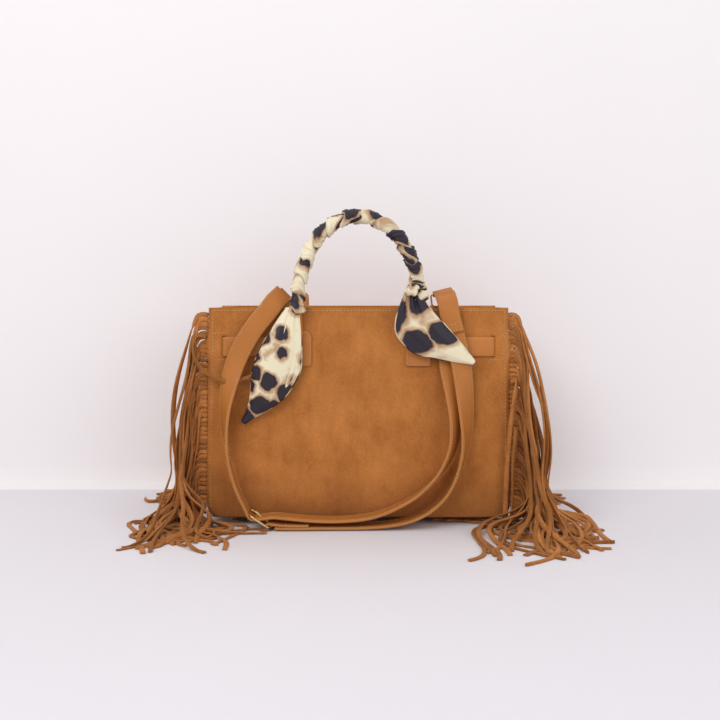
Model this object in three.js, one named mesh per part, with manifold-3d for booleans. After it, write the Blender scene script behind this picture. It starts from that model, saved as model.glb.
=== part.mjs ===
// A fringed suede handbag: lined tote body, two rolled handles, a scarf tied round the front handle,
// a clip-on shoulder strap laid over the front, and four cut fringes along the side seams.
// Millimetres, +Z up, the front faces -Y, the origin is on the floor under the middle of the bag.
import * as THREE from "three";
import { mergeVertices } from "three/addons/utils/BufferGeometryUtils.js";
import Module from "manifold-3d";

const wasm = await Module();
wasm.setup();

// ---- driving dimensions ----
const gap = 0.3; // clearance left between neighbouring pieces
const bodyWidthBottom = 374;
const bodyWidthTop = 368;
const bodyDepthBottom = 150;
const bodyDepthTop = 110;
const baseHeight = 10; // underside of the bag above the floor
const topHeight = 267; // upper edge of the front and back
const suedeThickness = 2;
const cornerRadius = 18;
const gussetFold = 22; // how far the side folds in at the top

const leanRise = topHeight - baseHeight;
const leanRun = (bodyDepthBottom - bodyDepthTop) / 2;
const lean = Math.atan2(leanRun, leanRise);
const panelHeight = Math.hypot(leanRise, leanRun);

const slitX = 165.5;
const slitHeight = 26;
const slitWidth = 3.4;
const slitLevel = 210; // middle of the slit, measured up the panel
const beltHeight = 24;
const beltThickness = 2.4;
const beltHiddenEnd = 11;

const tabX = 73;
const tabWidth = 31;
const tabThickness = 2.8;
const tabBottom = 186;
const tabTop = 234;
const handleRadius = 5.5;
const handleRise = 114;
const handleSpring = 254; // where the arch of the handle starts, measured up the panel
const handleStandOff = 13.5;

const scarfThickness = 3.4;
const scarfClearance = 1;
const tailThickness = 3;

const strapWidth = 25;
const strapThickness = 2.8;

const facingDepth = 50;
const facingOffset = -3.3;
const facingThickness = 1.5;
const liningThickness = 1;
const liningInset = 4.5;
const liningTop = 205;
const boardThickness = 2;

const footX = 156;
const footY = 44;
const footRadius = 7;
const footShankRadius = 1.6;

const snapRadius = 9;
const snapLevel = 232;

const ringX = 110;
const ringLevel = 240; // where the clip hangs on the ring, measured up the panel
const ringWire = 1.4;
const ringWidth = 19;
const ringHeight = 16;
const ringInset = 9;
const clipInset = 14;
const clipTilt = { left: THREE.MathUtils.degToRad(-32), right: THREE.MathUtils.degToRad(8) };

const buckleCentre = [-119, -92.5, 13];
const buckleTilt = THREE.MathUtils.degToRad(34);
const buckleLength = 27;
const buckleWidth = 30;
const buckleWire = 1.6;

// ---- finishes ----
const finish = (color, roughness, metalness = 0) =>
  new THREE.MeshStandardMaterial({ color, roughness, metalness });
const suede = finish(0xa96a33, 0.95);
const leather = finish(0xb8743a, 0.45);
const goldMetal = finish(0xd9b25f, 0.25, 1);
const liningCloth = finish(0x8a6a4a, 0.9);
const scarfCloth = finish(0xefe6c8, 0.7);
const boardStock = finish(0x7b6a55, 0.9);

// ---- joining and cutting ----
function toSolid(geometry) {
  const bare = geometry.clone();
  for (const name of Object.keys(bare.attributes)) {
    if (name !== "position") bare.deleteAttribute(name);
  }
  const merged = mergeVertices(bare, 1e-3);
  const vertProperties = new Float32Array(merged.attributes.position.array);
  const triVerts = new Uint32Array(merged.index.array);
  return new wasm.Manifold(new wasm.Mesh({ numProp: 3, vertProperties, triVerts }));
}

function toGeometry(solid) {
  const data = solid.getMesh();
  const geometry = new THREE.BufferGeometry();
  geometry.setAttribute("position", new THREE.BufferAttribute(data.vertProperties, 3));
  geometry.setIndex(new THREE.BufferAttribute(data.triVerts, 1));
  geometry.computeVertexNormals();
  return geometry;
}

const join = (...parts) => toGeometry(parts.map(toSolid).reduce((a, b) => a.add(b)));
const cut = (part, ...tools) =>
  toGeometry(tools.map(toSolid).reduce((a, b) => a.subtract(b), toSolid(part)));

// ---- shared shapes ----
function slab(x0, x1, y0, y1, z0, z1) {
  const box = new THREE.BoxGeometry(x1 - x0, y1 - y0, z1 - z0);
  return box.translate((x0 + x1) / 2, (y0 + y1) / 2, (z0 + z1) / 2);
}

function plate(shape, depth) {
  return new THREE.ExtrudeGeometry(shape, { depth, bevelEnabled: false, curveSegments: 6 });
}

// Points of a round corner, turning from one angle to another in quarter turns.
function corner(x, y, radius, from, to, pieces = 6) {
  const points = [];
  for (let i = 0; i <= pieces; i++) {
    const turn = ((from + ((to - from) * i) / pieces) * Math.PI) / 2;
    points.push([x + radius * Math.cos(turn), y + radius * Math.sin(turn)]);
  }
  return points;
}

const vectors = (points) => points.map((p) => new THREE.Vector2(...p));
const shapeOf = (points) => new THREE.Shape(vectors(points));

function roundedShape(x0, x1, y0, y1, radius) {
  return shapeOf([
    ...corner(x1 - radius, y0 + radius, radius, -1, 0),
    ...corner(x1 - radius, y1 - radius, radius, 0, 1),
    ...corner(x0 + radius, y1 - radius, radius, 1, 2),
    ...corner(x0 + radius, y0 + radius, radius, 2, 3),
  ]);
}

function circlePoints(radius, sides, x = 0, y = 0) {
  const points = [];
  for (let i = 0; i < sides; i++) {
    const turn = (i / sides) * Math.PI * 2;
    points.push([x + radius * Math.cos(turn), y + radius * Math.sin(turn)]);
  }
  return points;
}

const circleShape = (radius, sides) => shapeOf(circlePoints(radius, sides));
const circleHole = (radius, sides, x = 0, y = 0) =>
  new THREE.Path(vectors(circlePoints(radius, sides, x, y).reverse()));

function rod(points, radius, steps, sides = 10) {
  const extrudePath = new THREE.CatmullRomCurve3(points.map((p) => new THREE.Vector3(...p)));
  const options = { steps, extrudePath, bevelEnabled: false };
  return new THREE.ExtrudeGeometry(circleShape(radius, sides), options);
}

function wireLoop(points, radius, steps, sides = 8) {
  const path = new THREE.CatmullRomCurve3(points.map((p) => new THREE.Vector3(...p)), true);
  return new THREE.TubeGeometry(path, steps, radius, sides, true);
}

// A flat band swept along a route; each stop is [x, y, z, turn], where turn is the angle in degrees
// that the band's width has turned from lying across the front (0) to standing out from it (90).
function band(stops, width, thickness, steps) {
  const centre = new THREE.CatmullRomCurve3(stops.map((s) => new THREE.Vector3(s[0], s[1], s[2])));
  const turns = new THREE.CatmullRomCurve3(stops.map((s) => new THREE.Vector3(s[3], 0, 0)));
  const out = new THREE.Vector3(0, -1, 0);
  const corners = [];
  for (let i = 0; i <= steps; i++) {
    const at = i / steps;
    const middle = centre.getPoint(at);
    const along = centre.getTangent(at);
    const across = new THREE.Vector3().crossVectors(along, out).normalize();
    const proud = new THREE.Vector3().crossVectors(across, along).normalize();
    const turn = THREE.MathUtils.degToRad(turns.getPoint(at).x);
    const wide = across.clone().multiplyScalar(Math.cos(turn)).addScaledVector(proud, Math.sin(turn));
    const thick = new THREE.Vector3().crossVectors(along, wide).normalize();
    for (const [a, b] of [[-1, -1], [1, -1], [1, 1], [-1, 1]]) {
      const corner = middle.clone().addScaledVector(wide, (a * width) / 2);
      corners.push(corner.addScaledVector(thick, (b * thickness) / 2));
    }
  }
  return loft(corners, 4, [[0, 1, 2], [0, 2, 3]]);
}

// Closed solid through rings of the same number of points, its ends filled by the given triangles.
function loft(points, side, ends) {
  const rings = points.length / side;
  const index = [];
  for (let r = 0; r < rings - 1; r++) {
    for (let k = 0; k < side; k++) {
      const a = r * side + k;
      const b = r * side + ((k + 1) % side);
      index.push(a, b, b + side, a, b + side, a + side);
    }
  }
  const last = (rings - 1) * side;
  for (const [a, b, c] of ends) {
    index.push(a, c, b, last + a, last + b, last + c);
  }
  const geometry = new THREE.BufferGeometry().setFromPoints(points);
  geometry.setIndex(index);
  if (toSolid(geometry).volume() < 0) {
    geometry.setIndex(index.reverse());
  }
  geometry.computeVertexNormals();
  return geometry;
}

// ---- assembly frames ----
const bag = new THREE.Group();

// On a side's frame, x runs along the panel, y up its slope and z outwards from its inner face.
function sideFrame(turn) {
  const face = new THREE.Group();
  face.rotation.z = turn;
  const slope = new THREE.Group();
  slope.position.set(0, -bodyDepthBottom / 2 + suedeThickness, baseHeight);
  slope.rotation.x = Math.PI / 2 - lean;
  face.add(slope);
  bag.add(face);
  return slope;
}
const front = sideFrame(0);
const back = sideFrame(Math.PI);

function add(parent, name, geometry, material) {
  const mesh = new THREE.Mesh(geometry, material);
  mesh.name = name;
  parent.add(mesh);
  return mesh;
}

// ---- body ----
function panelShape() {
  const low = bodyWidthBottom / 2;
  const high = bodyWidthTop / 2;
  return shapeOf([
    ...corner(low - cornerRadius, cornerRadius, cornerRadius, -1, 0),
    [high, panelHeight],
    [-high, panelHeight],
    ...corner(-low + cornerRadius, cornerRadius, cornerRadius, 2, 3),
  ]);
}

function frontPanel() {
  const low = slitLevel - slitHeight / 2;
  const slits = [-1, 1].map((side) => {
    const middle = side * slitX;
    const half = slitWidth / 2;
    return slab(middle - half, middle + half, low, low + slitHeight, -1, suedeThickness + 1);
  });
  return cut(plate(panelShape(), suedeThickness), ...slits);
}

const depthAt = (z) => bodyDepthBottom / 2 - (leanRun * (z - baseHeight)) / leanRise;
const widthAt = (z) =>
  (bodyWidthBottom + ((bodyWidthTop - bodyWidthBottom) * (z - baseHeight)) / leanRise) / 2;

// A side sheet with one inward fold that grows from nothing at the base to gussetFold at the top.
function gusset(side) {
  const levels = 8;
  const rows = [];
  for (let i = 0; i <= levels; i++) {
    const z = baseHeight + 1 + ((leanRise - 1) * i) / levels;
    const half = depthAt(z) - suedeThickness - gap;
    const edge = widthAt(z) - 2.4;
    const fold = (gussetFold * i) / levels;
    rows.push(
      new THREE.Vector3(side * edge, -half, z),
      new THREE.Vector3(side * (edge - fold), 0, z),
      new THREE.Vector3(side * edge, half, z),
      new THREE.Vector3(side * (edge - suedeThickness), half, z),
      new THREE.Vector3(side * (edge - fold - suedeThickness), 0, z),
      new THREE.Vector3(side * (edge - suedeThickness), -half, z),
    );
  }
  return loft(rows, 6, [[0, 1, 4], [0, 4, 5], [1, 2, 3], [1, 3, 4]]);
}

// A flat bottom sheet with a hole for each foot's shank.
function baseSheet(halfX, halfY, z, thickness) {
  const shape = roundedShape(-halfX, halfX, -halfY, halfY, 4);
  for (const x of [-footX, footX]) {
    for (const y of [-footY, footY]) {
      shape.holes.push(circleHole(footShankRadius + gap, 12, x, y));
    }
  }
  return plate(shape, thickness).translate(0, 0, z);
}

function foot() {
  const under = baseHeight - gap;
  const over = baseHeight + suedeThickness + gap + boardThickness + 2;
  const profile = [
    [0, 0],
    [footRadius * 0.6, 0],
    [footRadius * 0.92, 1.6],
    [footRadius, 4],
    [footRadius * 0.9, 6.8],
    [footRadius * 0.9, under],
    [footShankRadius, under],
    [footShankRadius, over],
    [0, over],
  ];
  return new THREE.LatheGeometry(vectors(profile), 14).rotateX(Math.PI / 2);
}

// The cloth lining: a thin open box that follows the walls, with the side folds.
function lining() {
  const levels = 6;
  const bottom = baseHeight + 8;
  const ring = (z, inset, i) => {
    const half = depthAt(z) - liningInset - inset;
    const edge = widthAt(z) - 5.4 - inset;
    const fold = (gussetFold * (z - baseHeight)) / leanRise;
    return [
      new THREE.Vector3(-edge, -half, z),
      new THREE.Vector3(edge, -half, z),
      new THREE.Vector3(edge - fold, 0, z),
      new THREE.Vector3(edge, half, z),
      new THREE.Vector3(-edge, half, z),
      new THREE.Vector3(-edge + fold, 0, z),
    ];
  };
  const points = [];
  for (let i = 0; i <= levels; i++) {
    points.push(...ring(bottom + ((liningTop - bottom) * i) / levels, suedeThickness));
  }
  for (let i = levels; i >= 0; i--) {
    const floor = bottom + liningThickness;
    points.push(...ring(floor + ((liningTop - floor) * i) / levels, suedeThickness + liningThickness));
  }
  return loft(points, 6, [[0, 1, 2], [0, 2, 5], [5, 2, 3], [5, 3, 4]]);
}

function facing() {
  const top = panelHeight - 2;
  const shape = roundedShape(-173, 173, top - facingDepth, top, 2);
  return plate(shape, facingThickness).translate(0, 0, facingOffset - facingThickness);
}

function snapHalf(hollow) {
  const inner = facingOffset - facingThickness - gap;
  const outline = hollow
    ? [[3.2, 0], [snapRadius, 0], [snapRadius, 2.2], [snapRadius - 1, 3], [3.2, 3], [3.2, 0]]
    : [[0, 0], [snapRadius, 0], [snapRadius, 1.4], [2.8, 2], [2.4, 4.2], [0, 4.2]];
  const half = new THREE.LatheGeometry(vectors(outline), 18);
  return half.rotateX(-Math.PI / 2).translate(0, snapLevel, inner);
}

// ---- belts and handles ----
// A strip sewn on beside the handle tab that dives through the slit and is held behind the panel.
function belt(side) {
  const face = suedeThickness + gap;
  const low = slitLevel - beltHeight / 2;
  const high = slitLevel + beltHeight / 2;
  const inner = tabX + tabWidth / 2 + gap;
  const bend = slitX + beltThickness / 2;
  const strip = slab(inner, bend, low, high, face, face + beltThickness);
  const through = slab(bend - beltThickness, bend, low, high, -gap - beltThickness, face + beltThickness);
  const hidden = slab(bend - beltThickness, bend + beltHiddenEnd, low, high, -gap - beltThickness, -gap);
  const whole = join(strip, through, hidden);
  return side > 0 ? whole : whole.rotateY(Math.PI).translate(0, 0, suedeThickness);
}

function tab(x) {
  const half = tabWidth / 2;
  const round = 3;
  const shoulder = half - handleRadius;
  const shape = shapeOf([
    ...corner(x + half - round, tabBottom + round, round, -1, 0, 3),
    ...corner(x + handleRadius, tabTop - 14, shoulder, 0, 1, 5),
    [x + handleRadius - 1, tabTop + 4],
    [x - handleRadius + 1, tabTop + 4],
    ...corner(x - handleRadius, tabTop - 14, shoulder, 1, 2, 5),
    ...corner(x - half + round, tabBottom + round, round, 2, 3, 3),
  ]);
  return plate(shape, tabThickness).translate(0, 0, suedeThickness + gap);
}

const neckRoute = [
  [tabX, tabTop - 22, 7.9],
  [tabX, tabTop - 8, 8.3],
  [tabX + 1, tabTop + 6, 10],
];
const mirrored = (points) => points.map(([x, y, z]) => [-x, y, z]).reverse();

// The arch of the upright handle, over the bag from the right tab to the left one.
function archRoute() {
  const points = [];
  for (let i = 0; i <= 12; i++) {
    const turn = (Math.PI * i) / 12;
    const x = (tabX + 1.5) * Math.cos(turn);
    const rise = Math.pow(Math.sin(turn), 0.92);
    points.push([x, handleSpring + handleRise * rise, handleStandOff + 2.5 * rise]);
  }
  return points;
}

// The handle that has dropped down behind the bag: up from the tab, over, and hanging in a loop.
function droppedRoute() {
  const side = [
    [tabX + 1, tabTop + 20, 12.5],
    [tabX + 1, tabTop + 32, 18],
    [tabX + 1, tabTop + 33, 27],
    [tabX + 1, tabTop + 20, 32],
    [tabX - 1, tabTop - 6, 31],
    [tabX - 9, tabTop - 38, 25],
    [tabX - 29, tabTop - 66, 19],
    [tabX - 53, tabTop - 79, 16],
  ];
  return [...side, [0, tabTop - 84, 15], ...mirrored(side)];
}

const uprightRoute = [...neckRoute, ...archRoute(), ...mirrored(neckRoute)];

function handle(route, steps) {
  return join(rod(route, handleRadius, steps, 10), tab(tabX), tab(-tabX));
}

// ---- scarf ----
// A sleeve wound over the arch, with a flat tail hanging from each end of it.
function scarf() {
  const arch = archRoute();
  const sleevePoints = arch.map((p) => new THREE.Vector3(...p));
  const extrudePath = new THREE.CatmullRomCurve3(sleevePoints);
  const ring = circleShape(handleRadius + scarfThickness, 10);
  ring.holes.push(circleHole(handleRadius + scarfClearance, 10));
  const sleeve = new THREE.ExtrudeGeometry(ring, { steps: 28, extrudePath, bevelEnabled: false });
  const clear = handleStandOff + handleRadius + scarfClearance + 1;
  const leftTail = [[-84, 258], [-66, 258], [-64, 232], [-65, 206], [-70, 182], [-92, 152], [-140, 118],
    [-143, 124], [-134, 152], [-128, 182], [-118, 214], [-98, 242]];
  const rightTail = [[58, 272], [48, 252], [46, 232], [56, 214], [74, 201], [138, 192], [143, 197],
    [118, 230], [90, 262], [74, 282]];
  const tails = [leftTail, rightTail].map((outline) => {
    return plate(shapeOf(outline), tailThickness).translate(0, 0, clear);
  });
  return join(sleeve, ...tails);
}

// ---- shoulder strap ----
// Each stop is [x, y, z, turn of the band].
const shortStrapRoute = [
  [106.5, -49, 284.5, 0],
  [109.5, -60, 272, 0],
  [112, -65, 255, 0],
  [118, -69, 230, 0],
  [125, -74, 198, 8],
  [129, -78, 165, 25],
  [131, -82, 132, 45],
  [130, -86, 102, 62],
  [123, -89, 73, 75],
  [110, -90, 46, 84],
  [91, -90, 26, 88],
  [68, -90, 13, 90],
  [40, -90, 6, 90],
  [0, -90, 3, 90],
  [-46, -91, 3, 90],
  [-80, -92, 3, 90],
  [-101, -92, 3.4, 90],
];
const longStrapRoute = [
  [-92, -48.5, 285, 0],
  [-102, -59, 275, 0],
  [-111, -63, 263, 0],
  [-125, -66, 246, 0],
  [-138, -69, 226, -2],
  [-149, -72, 203, -10],
  [-158, -76, 173, -30],
  [-162, -81, 142, -55],
  [-161, -86, 110, -75],
  [-156, -90, 80, -86],
  [-147, -92, 50, -90],
  [-137.5, -92, 29, -90],
  [-130, -92, 14.8, -90],
  [-118, -92, 14.5, -90],
  [-103, -92, 16.5, -90],
  [-85, -92, 15, -90],
  [-58, -92, 12.5, -90],
  [-28, -91.5, 11.5, -90],
  [-2, -91, 13, -90],
  [20, -91, 17, -90],
  [44, -91, 26, -88],
  [73, -90, 42.5, -84],
  [99, -89, 68, -74],
  [114, -87, 98, -62],
  [118, -82, 130, -48],
  [116, -74, 162, -30],
  [111, -67, 196, -10],
];

const buckleFrame = new THREE.Group();
buckleFrame.position.set(...buckleCentre);
buckleFrame.rotation.y = buckleTilt;
bag.add(buckleFrame);

function buckleRing() {
  const x = buckleLength / 2;
  const y = buckleWidth / 2;
  const c = 4;
  const route = [[x, -y + c, 0], [x, 0, 0], [x, y - c, 0], [x - c, y, 0], [0, y, 0], [-x + c, y, 0],
    [-x, y - c, 0], [-x, 0, 0], [-x, -y + c, 0], [-x + c, -y, 0], [0, -y, 0], [x - c, -y, 0]];
  return wireLoop(route, buckleWire, 36, 6);
}

function buckleProng() {
  const reach = buckleLength / 2;
  const high = buckleWire * 2 + gap;
  const eye = new THREE.TorusGeometry(buckleWire + gap + 1, 1, 6, 14).rotateX(Math.PI / 2);
  const route = [[reach - 2.4, 0, 1.6], [reach - 6, 0, 2.4], [0, 0, 2.6], [-reach + 4, 0, high],
    [-reach - 1.5, 0, high]];
  return join(eye.translate(reach, 0, 0), rod(route, 1.1, 10, 8));
}

function prongSlot() {
  return slab(-buckleLength / 2 - 4, buckleLength / 2 - 1, -1.9, 1.9, -1, 9);
}

// ---- clips and rings ----
function dRing() {
  const w = ringWidth / 2;
  const h = ringHeight;
  const tip = (clipInset - ringInset) / h;
  const route = [[-w, 0], [-w / 2, 0], [w / 2, 0], [w, 0], [w + 0.6, h * 0.3], [w * 0.8, h * 0.75],
    [w * 0.35, h], [-w * 0.35, h], [-w * 0.8, h * 0.75], [-w - 0.6, h * 0.3]];
  return wireLoop(route.map(([x, y]) => [x, y, -tip * y]), ringWire, 30, 6);
}

function ringTab() {
  const inner = facingOffset - facingThickness - gap;
  const level = ringLevel - ringHeight;
  const eye = circleShape(ringWire + gap + 1.6, 18);
  eye.holes.push(circleHole(ringWire + gap, 18));
  const loop = plate(eye, 13).translate(0, 0, -6.5).rotateY(Math.PI / 2).translate(0, level, -ringInset);
  const leaf = slab(-6.5, 6.5, level - 17, level - ringWire - gap - 0.4, inner - 2.4, inner);
  const bridge = slab(-6.5, 6.5, level - 5, level - ringWire - gap - 0.4, -ringInset - 1, inner);
  return join(loop, leaf, bridge);
}

const hookRadius = 8.5;
const hookHole = 5;
const hookCentre = 1.8;
const hookThickness = 3;
const barrelRadius = 4.2;
const barrelLow = 9.4;
const barrelHigh = 19.5;
const postRadius = 1.6;
const gateHinge = [-6.9, 6.6]; // z and y of its pin
const gateEnd = -0.8;
const gateHalf = 1.1;

// Clip frames: x across the strap, y up the clip, z outwards; the hook's plane is y-z.
function hook() {
  const outline = circleShape(hookRadius, 28);
  outline.holes.push(circleHole(hookHole, 24));
  const ring = plate(outline, hookThickness).translate(0, 0, -hookThickness / 2);
  ring.rotateY(Math.PI / 2).translate(0, hookCentre, 0);
  const barrel = new THREE.CylinderGeometry(barrelRadius, barrelRadius, barrelHigh - barrelLow, 20);
  barrel.translate(0, (barrelHigh + barrelLow) / 2, 0);
  const bore = new THREE.CylinderGeometry(postRadius + gap, postRadius + gap, 6, 16);
  bore.translate(0, barrelHigh - 3 + 0.01, 0);
  const gateway = slab(-3, 3, gateEnd - 0.4, gateHinge[1] + 1.6, -hookRadius - 1, -hookHole + 0.9);
  return cut(join(ring, barrel), bore, gateway);
}

function gate() {
  const wide = hookThickness / 2 - 0.2;
  const [deep, high] = gateHinge;
  const lever = slab(-wide, wide, gateEnd, high, deep - gateHalf, deep + gateHalf);
  const knuckle = new THREE.CylinderGeometry(gateHalf, gateHalf, wide * 2, 14).rotateZ(Math.PI / 2);
  return join(lever, knuckle.translate(0, high, deep));
}

function swivelLoop() {
  const w = (strapWidth + 5) / 2;
  const low = barrelHigh + 2.4;
  const high = 37.5;
  const c = 2.2;
  const middle = (low + high) / 2;
  const route = [[-w + c, low], [0, low], [w - c, low], [w, low + c], [w, middle], [w, high - c],
    [w - c, high], [0, high], [-w + c, high], [-w, high - c], [-w, middle], [-w, low + c]];
  const ring = wireLoop(route.map(([x, y]) => [x, y, 0]), 1.4, 36, 6);
  const post = new THREE.CylinderGeometry(postRadius, postRadius, low - barrelHigh + 5, 16);
  return join(ring, post.translate(0, (low + barrelHigh - 5) / 2, 0));
}

// ---- fringe ----
// The room that one cut fringe takes: a curtain beside the seam and a heap on the floor.
function fringe(side, end) {
  const seam = bodyWidthBottom / 2 + 1;
  const curtain = shapeOf([[seam, 2], [seam + 66, 2], [seam + 58, 90], [seam + 34, 180],
    [seam + 10, topHeight - 6], [seam, topHeight - 6]]);
  const nearFace = 98;
  const curtainDepth = 62;
  const hanging = plate(curtain, curtainDepth).rotateX(Math.PI / 2).translate(0, -nearFace + curtainDepth, 0);
  const heapOutline = [[seam, -16], [276, -10], [285, -50], [262, -118], [214, -190], [178, -235],
    [116, -228], [108, -200], [146, -132], [seam - 2, -79], [seam, -79]];
  const heap = plate(shapeOf(heapOutline), 16);
  let whole = toSolid(join(hanging, heap));
  if (side < 0) whole = whole.mirror([1, 0, 0]);
  if (end > 0) whole = whole.mirror([0, 1, 0]);
  return toGeometry(whole);
}

// ---- put together ----
add(front, "front_panel", frontPanel(), suede);
add(back, "back_panel", plate(panelShape(), suedeThickness), suede);
add(bag, "left_gusset", gusset(-1), suede);
add(bag, "right_gusset", gusset(1), suede);
add(bag, "base_panel", baseSheet(181, bodyDepthBottom / 2 - 3, baseHeight, suedeThickness), suede);
const boardLevel = baseHeight + suedeThickness + gap;
add(bag, "base_board", baseSheet(178, bodyDepthBottom / 2 - 6, boardLevel, boardThickness), boardStock);
add(bag, "lining", lining(), liningCloth);
add(front, "front_facing", facing(), leather);
add(back, "back_facing", facing(), leather);
add(front, "snap_socket", snapHalf(true), goldMetal);
add(back, "snap_stud", snapHalf(false), goldMetal);

for (const [xName, x] of [["left", -footX], ["right", footX]]) {
  for (const [yName, y] of [["front", -footY], ["back", footY]]) {
    add(bag, `foot_${yName}_${xName}`, foot(), goldMetal).position.set(x, y, 0);
  }
}

add(front, "belt_left", belt(-1), leather);
add(front, "belt_right", belt(1), leather);
add(front, "front_handle", handle(uprightRoute, 40), leather);
add(back, "back_handle", handle([...neckRoute, ...droppedRoute(), ...mirrored(neckRoute)], 44), leather);
add(front, "scarf", scarf(), scarfCloth);

for (const [name, x] of [["left", -ringX], ["right", ringX]]) {
  const ringMesh = add(front, `d_ring_${name}`, dRing(), goldMetal);
  ringMesh.position.set(x, ringLevel - ringHeight, -ringInset);
  add(front, `d_ring_tab_${name}`, ringTab(), leather).position.x = x;
  const clip = new THREE.Group();
  clip.position.set(x, ringLevel, -clipInset);
  clip.rotation.z = clipTilt[name];
  front.add(clip);
  add(clip, `clip_hook_${name}`, hook(), goldMetal);
  add(clip, `clip_gate_${name}`, gate(), goldMetal);
  add(clip, `clip_loop_${name}`, swivelLoop(), goldMetal);
}

add(buckleFrame, "buckle_frame", buckleRing(), goldMetal);
add(buckleFrame, "buckle_prong", buckleProng(), goldMetal);
add(bag, "strap_short", band(shortStrapRoute, strapWidth, strapThickness, 36), leather);
buckleFrame.updateMatrixWorld(true);
const slot = prongSlot().applyMatrix4(buckleFrame.matrixWorld);
add(bag, "strap_long", cut(band(longStrapRoute, strapWidth, strapThickness, 52), slot), leather);

for (const [xName, side] of [["left", -1], ["right", 1]]) {
  add(bag, `fringe_front_${xName}`, fringe(side, -1), suede);
  add(bag, `fringe_back_${xName}`, fringe(side, 1), suede);
}

export default bag;
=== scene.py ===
import math
import bpy
import numpy as np
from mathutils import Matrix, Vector


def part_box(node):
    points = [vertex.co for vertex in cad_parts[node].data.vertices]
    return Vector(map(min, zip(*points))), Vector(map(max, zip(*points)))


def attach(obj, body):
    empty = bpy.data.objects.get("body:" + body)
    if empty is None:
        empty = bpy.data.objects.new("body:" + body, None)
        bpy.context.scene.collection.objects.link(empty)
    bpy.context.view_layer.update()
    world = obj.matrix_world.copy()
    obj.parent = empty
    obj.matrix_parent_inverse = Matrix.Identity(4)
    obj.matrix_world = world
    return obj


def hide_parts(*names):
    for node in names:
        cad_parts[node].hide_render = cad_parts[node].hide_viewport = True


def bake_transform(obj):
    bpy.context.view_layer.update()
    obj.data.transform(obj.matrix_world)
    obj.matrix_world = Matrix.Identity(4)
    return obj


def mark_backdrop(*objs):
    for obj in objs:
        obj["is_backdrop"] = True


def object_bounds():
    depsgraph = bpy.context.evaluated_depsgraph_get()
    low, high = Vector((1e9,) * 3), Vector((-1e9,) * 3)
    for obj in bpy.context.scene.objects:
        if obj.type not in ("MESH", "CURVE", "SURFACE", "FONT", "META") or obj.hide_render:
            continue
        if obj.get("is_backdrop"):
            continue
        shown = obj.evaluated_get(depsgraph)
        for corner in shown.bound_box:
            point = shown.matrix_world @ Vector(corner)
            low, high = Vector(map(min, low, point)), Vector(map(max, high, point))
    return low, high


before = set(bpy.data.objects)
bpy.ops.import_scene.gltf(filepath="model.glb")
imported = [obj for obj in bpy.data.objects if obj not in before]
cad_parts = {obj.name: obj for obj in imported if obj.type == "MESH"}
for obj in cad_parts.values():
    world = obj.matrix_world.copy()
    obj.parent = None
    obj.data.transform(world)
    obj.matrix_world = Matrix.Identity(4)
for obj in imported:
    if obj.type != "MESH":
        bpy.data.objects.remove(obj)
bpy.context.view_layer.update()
print("frame loaded")

# measures taken from the frame
panelLow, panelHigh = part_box("front_panel")
bag = {
    "halfLow": panelHigh.x,
    "halfHigh": panelHigh.x - 0.003,
    "base": panelLow.z,
    "rise": panelHigh.z - panelLow.z,
    "frontFoot": panelLow.y,
    "suede": 0.002,
    "corner": 0.018,
    "fold": 0.022,
}
bag["run"] = 0.020
bag["lean"] = math.atan2(bag["run"], bag["rise"])
bag["slope"] = math.hypot(bag["run"], bag["rise"])


def arr(points):
    return np.array(points, float)


# a point on the front: x across, up the slope, and outwards from the panel's inner face
def onFront(x, up, out):
    x, up, out = np.broadcast_arrays(arr(x), arr(up), arr(out))
    s, c = math.sin(bag["lean"]), math.cos(bag["lean"])
    y = bag["frontFoot"] + bag["suede"] + up * s - out * c
    z = bag["base"] + up * c + out * s
    return np.stack([x, y, z], -1)


# camera
view = {"place": (0.0018, -1.175, 0.296), "pitch": 4.76, "lens": 45.5}
camera = bpy.data.objects.new("camera", bpy.data.cameras.new("camera"))
bpy.context.scene.collection.objects.link(camera)
camera.location = view["place"]
camera.rotation_euler = (math.radians(90 - view["pitch"]), 0, 0)
camera.data.lens = view["lens"]
camera.data.sensor_width = 36
bpy.context.scene.camera = camera


# mesh helpers
def newObject(name, verts, faces, material=None, body="bag", smooth=True, uv=None, slots=None):
    mesh = bpy.data.meshes.new(name)
    mesh.from_pydata([tuple(v) for v in np.asarray(verts).reshape(-1, 3)], [], [tuple(f) for f in faces])
    mesh.validate()
    if smooth:
        mesh.polygons.foreach_set("use_smooth", [True] * len(mesh.polygons))
    obj = bpy.data.objects.new(name, mesh)
    bpy.context.scene.collection.objects.link(obj)
    for mat in material if isinstance(material, (list, tuple)) else [material]:
        mesh.materials.append(mat)
    if slots is not None:
        mesh.polygons.foreach_set("material_index", list(slots))
    if uv is not None:
        layer = mesh.uv_layers.new(name="cloth")
        index = np.zeros(len(mesh.loops), int)
        mesh.loops.foreach_get("vertex_index", index)
        layer.data.foreach_set("uv", np.asarray(uv, float).reshape(-1, 2)[index].ravel())
    if body:
        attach(obj, body)
    return obj


def gridFaces(rows, columns, closeRows=False, closeColumns=False, start=0):
    faces = []
    for r in range(rows if closeRows else rows - 1):
        for c in range(columns if closeColumns else columns - 1):
            r2, c2 = (r + 1) % rows, (c + 1) % columns
            faces.append((start + r * columns + c, start + r * columns + c2, start + r2 * columns + c2,
                          start + r2 * columns + c))
    return faces


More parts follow.
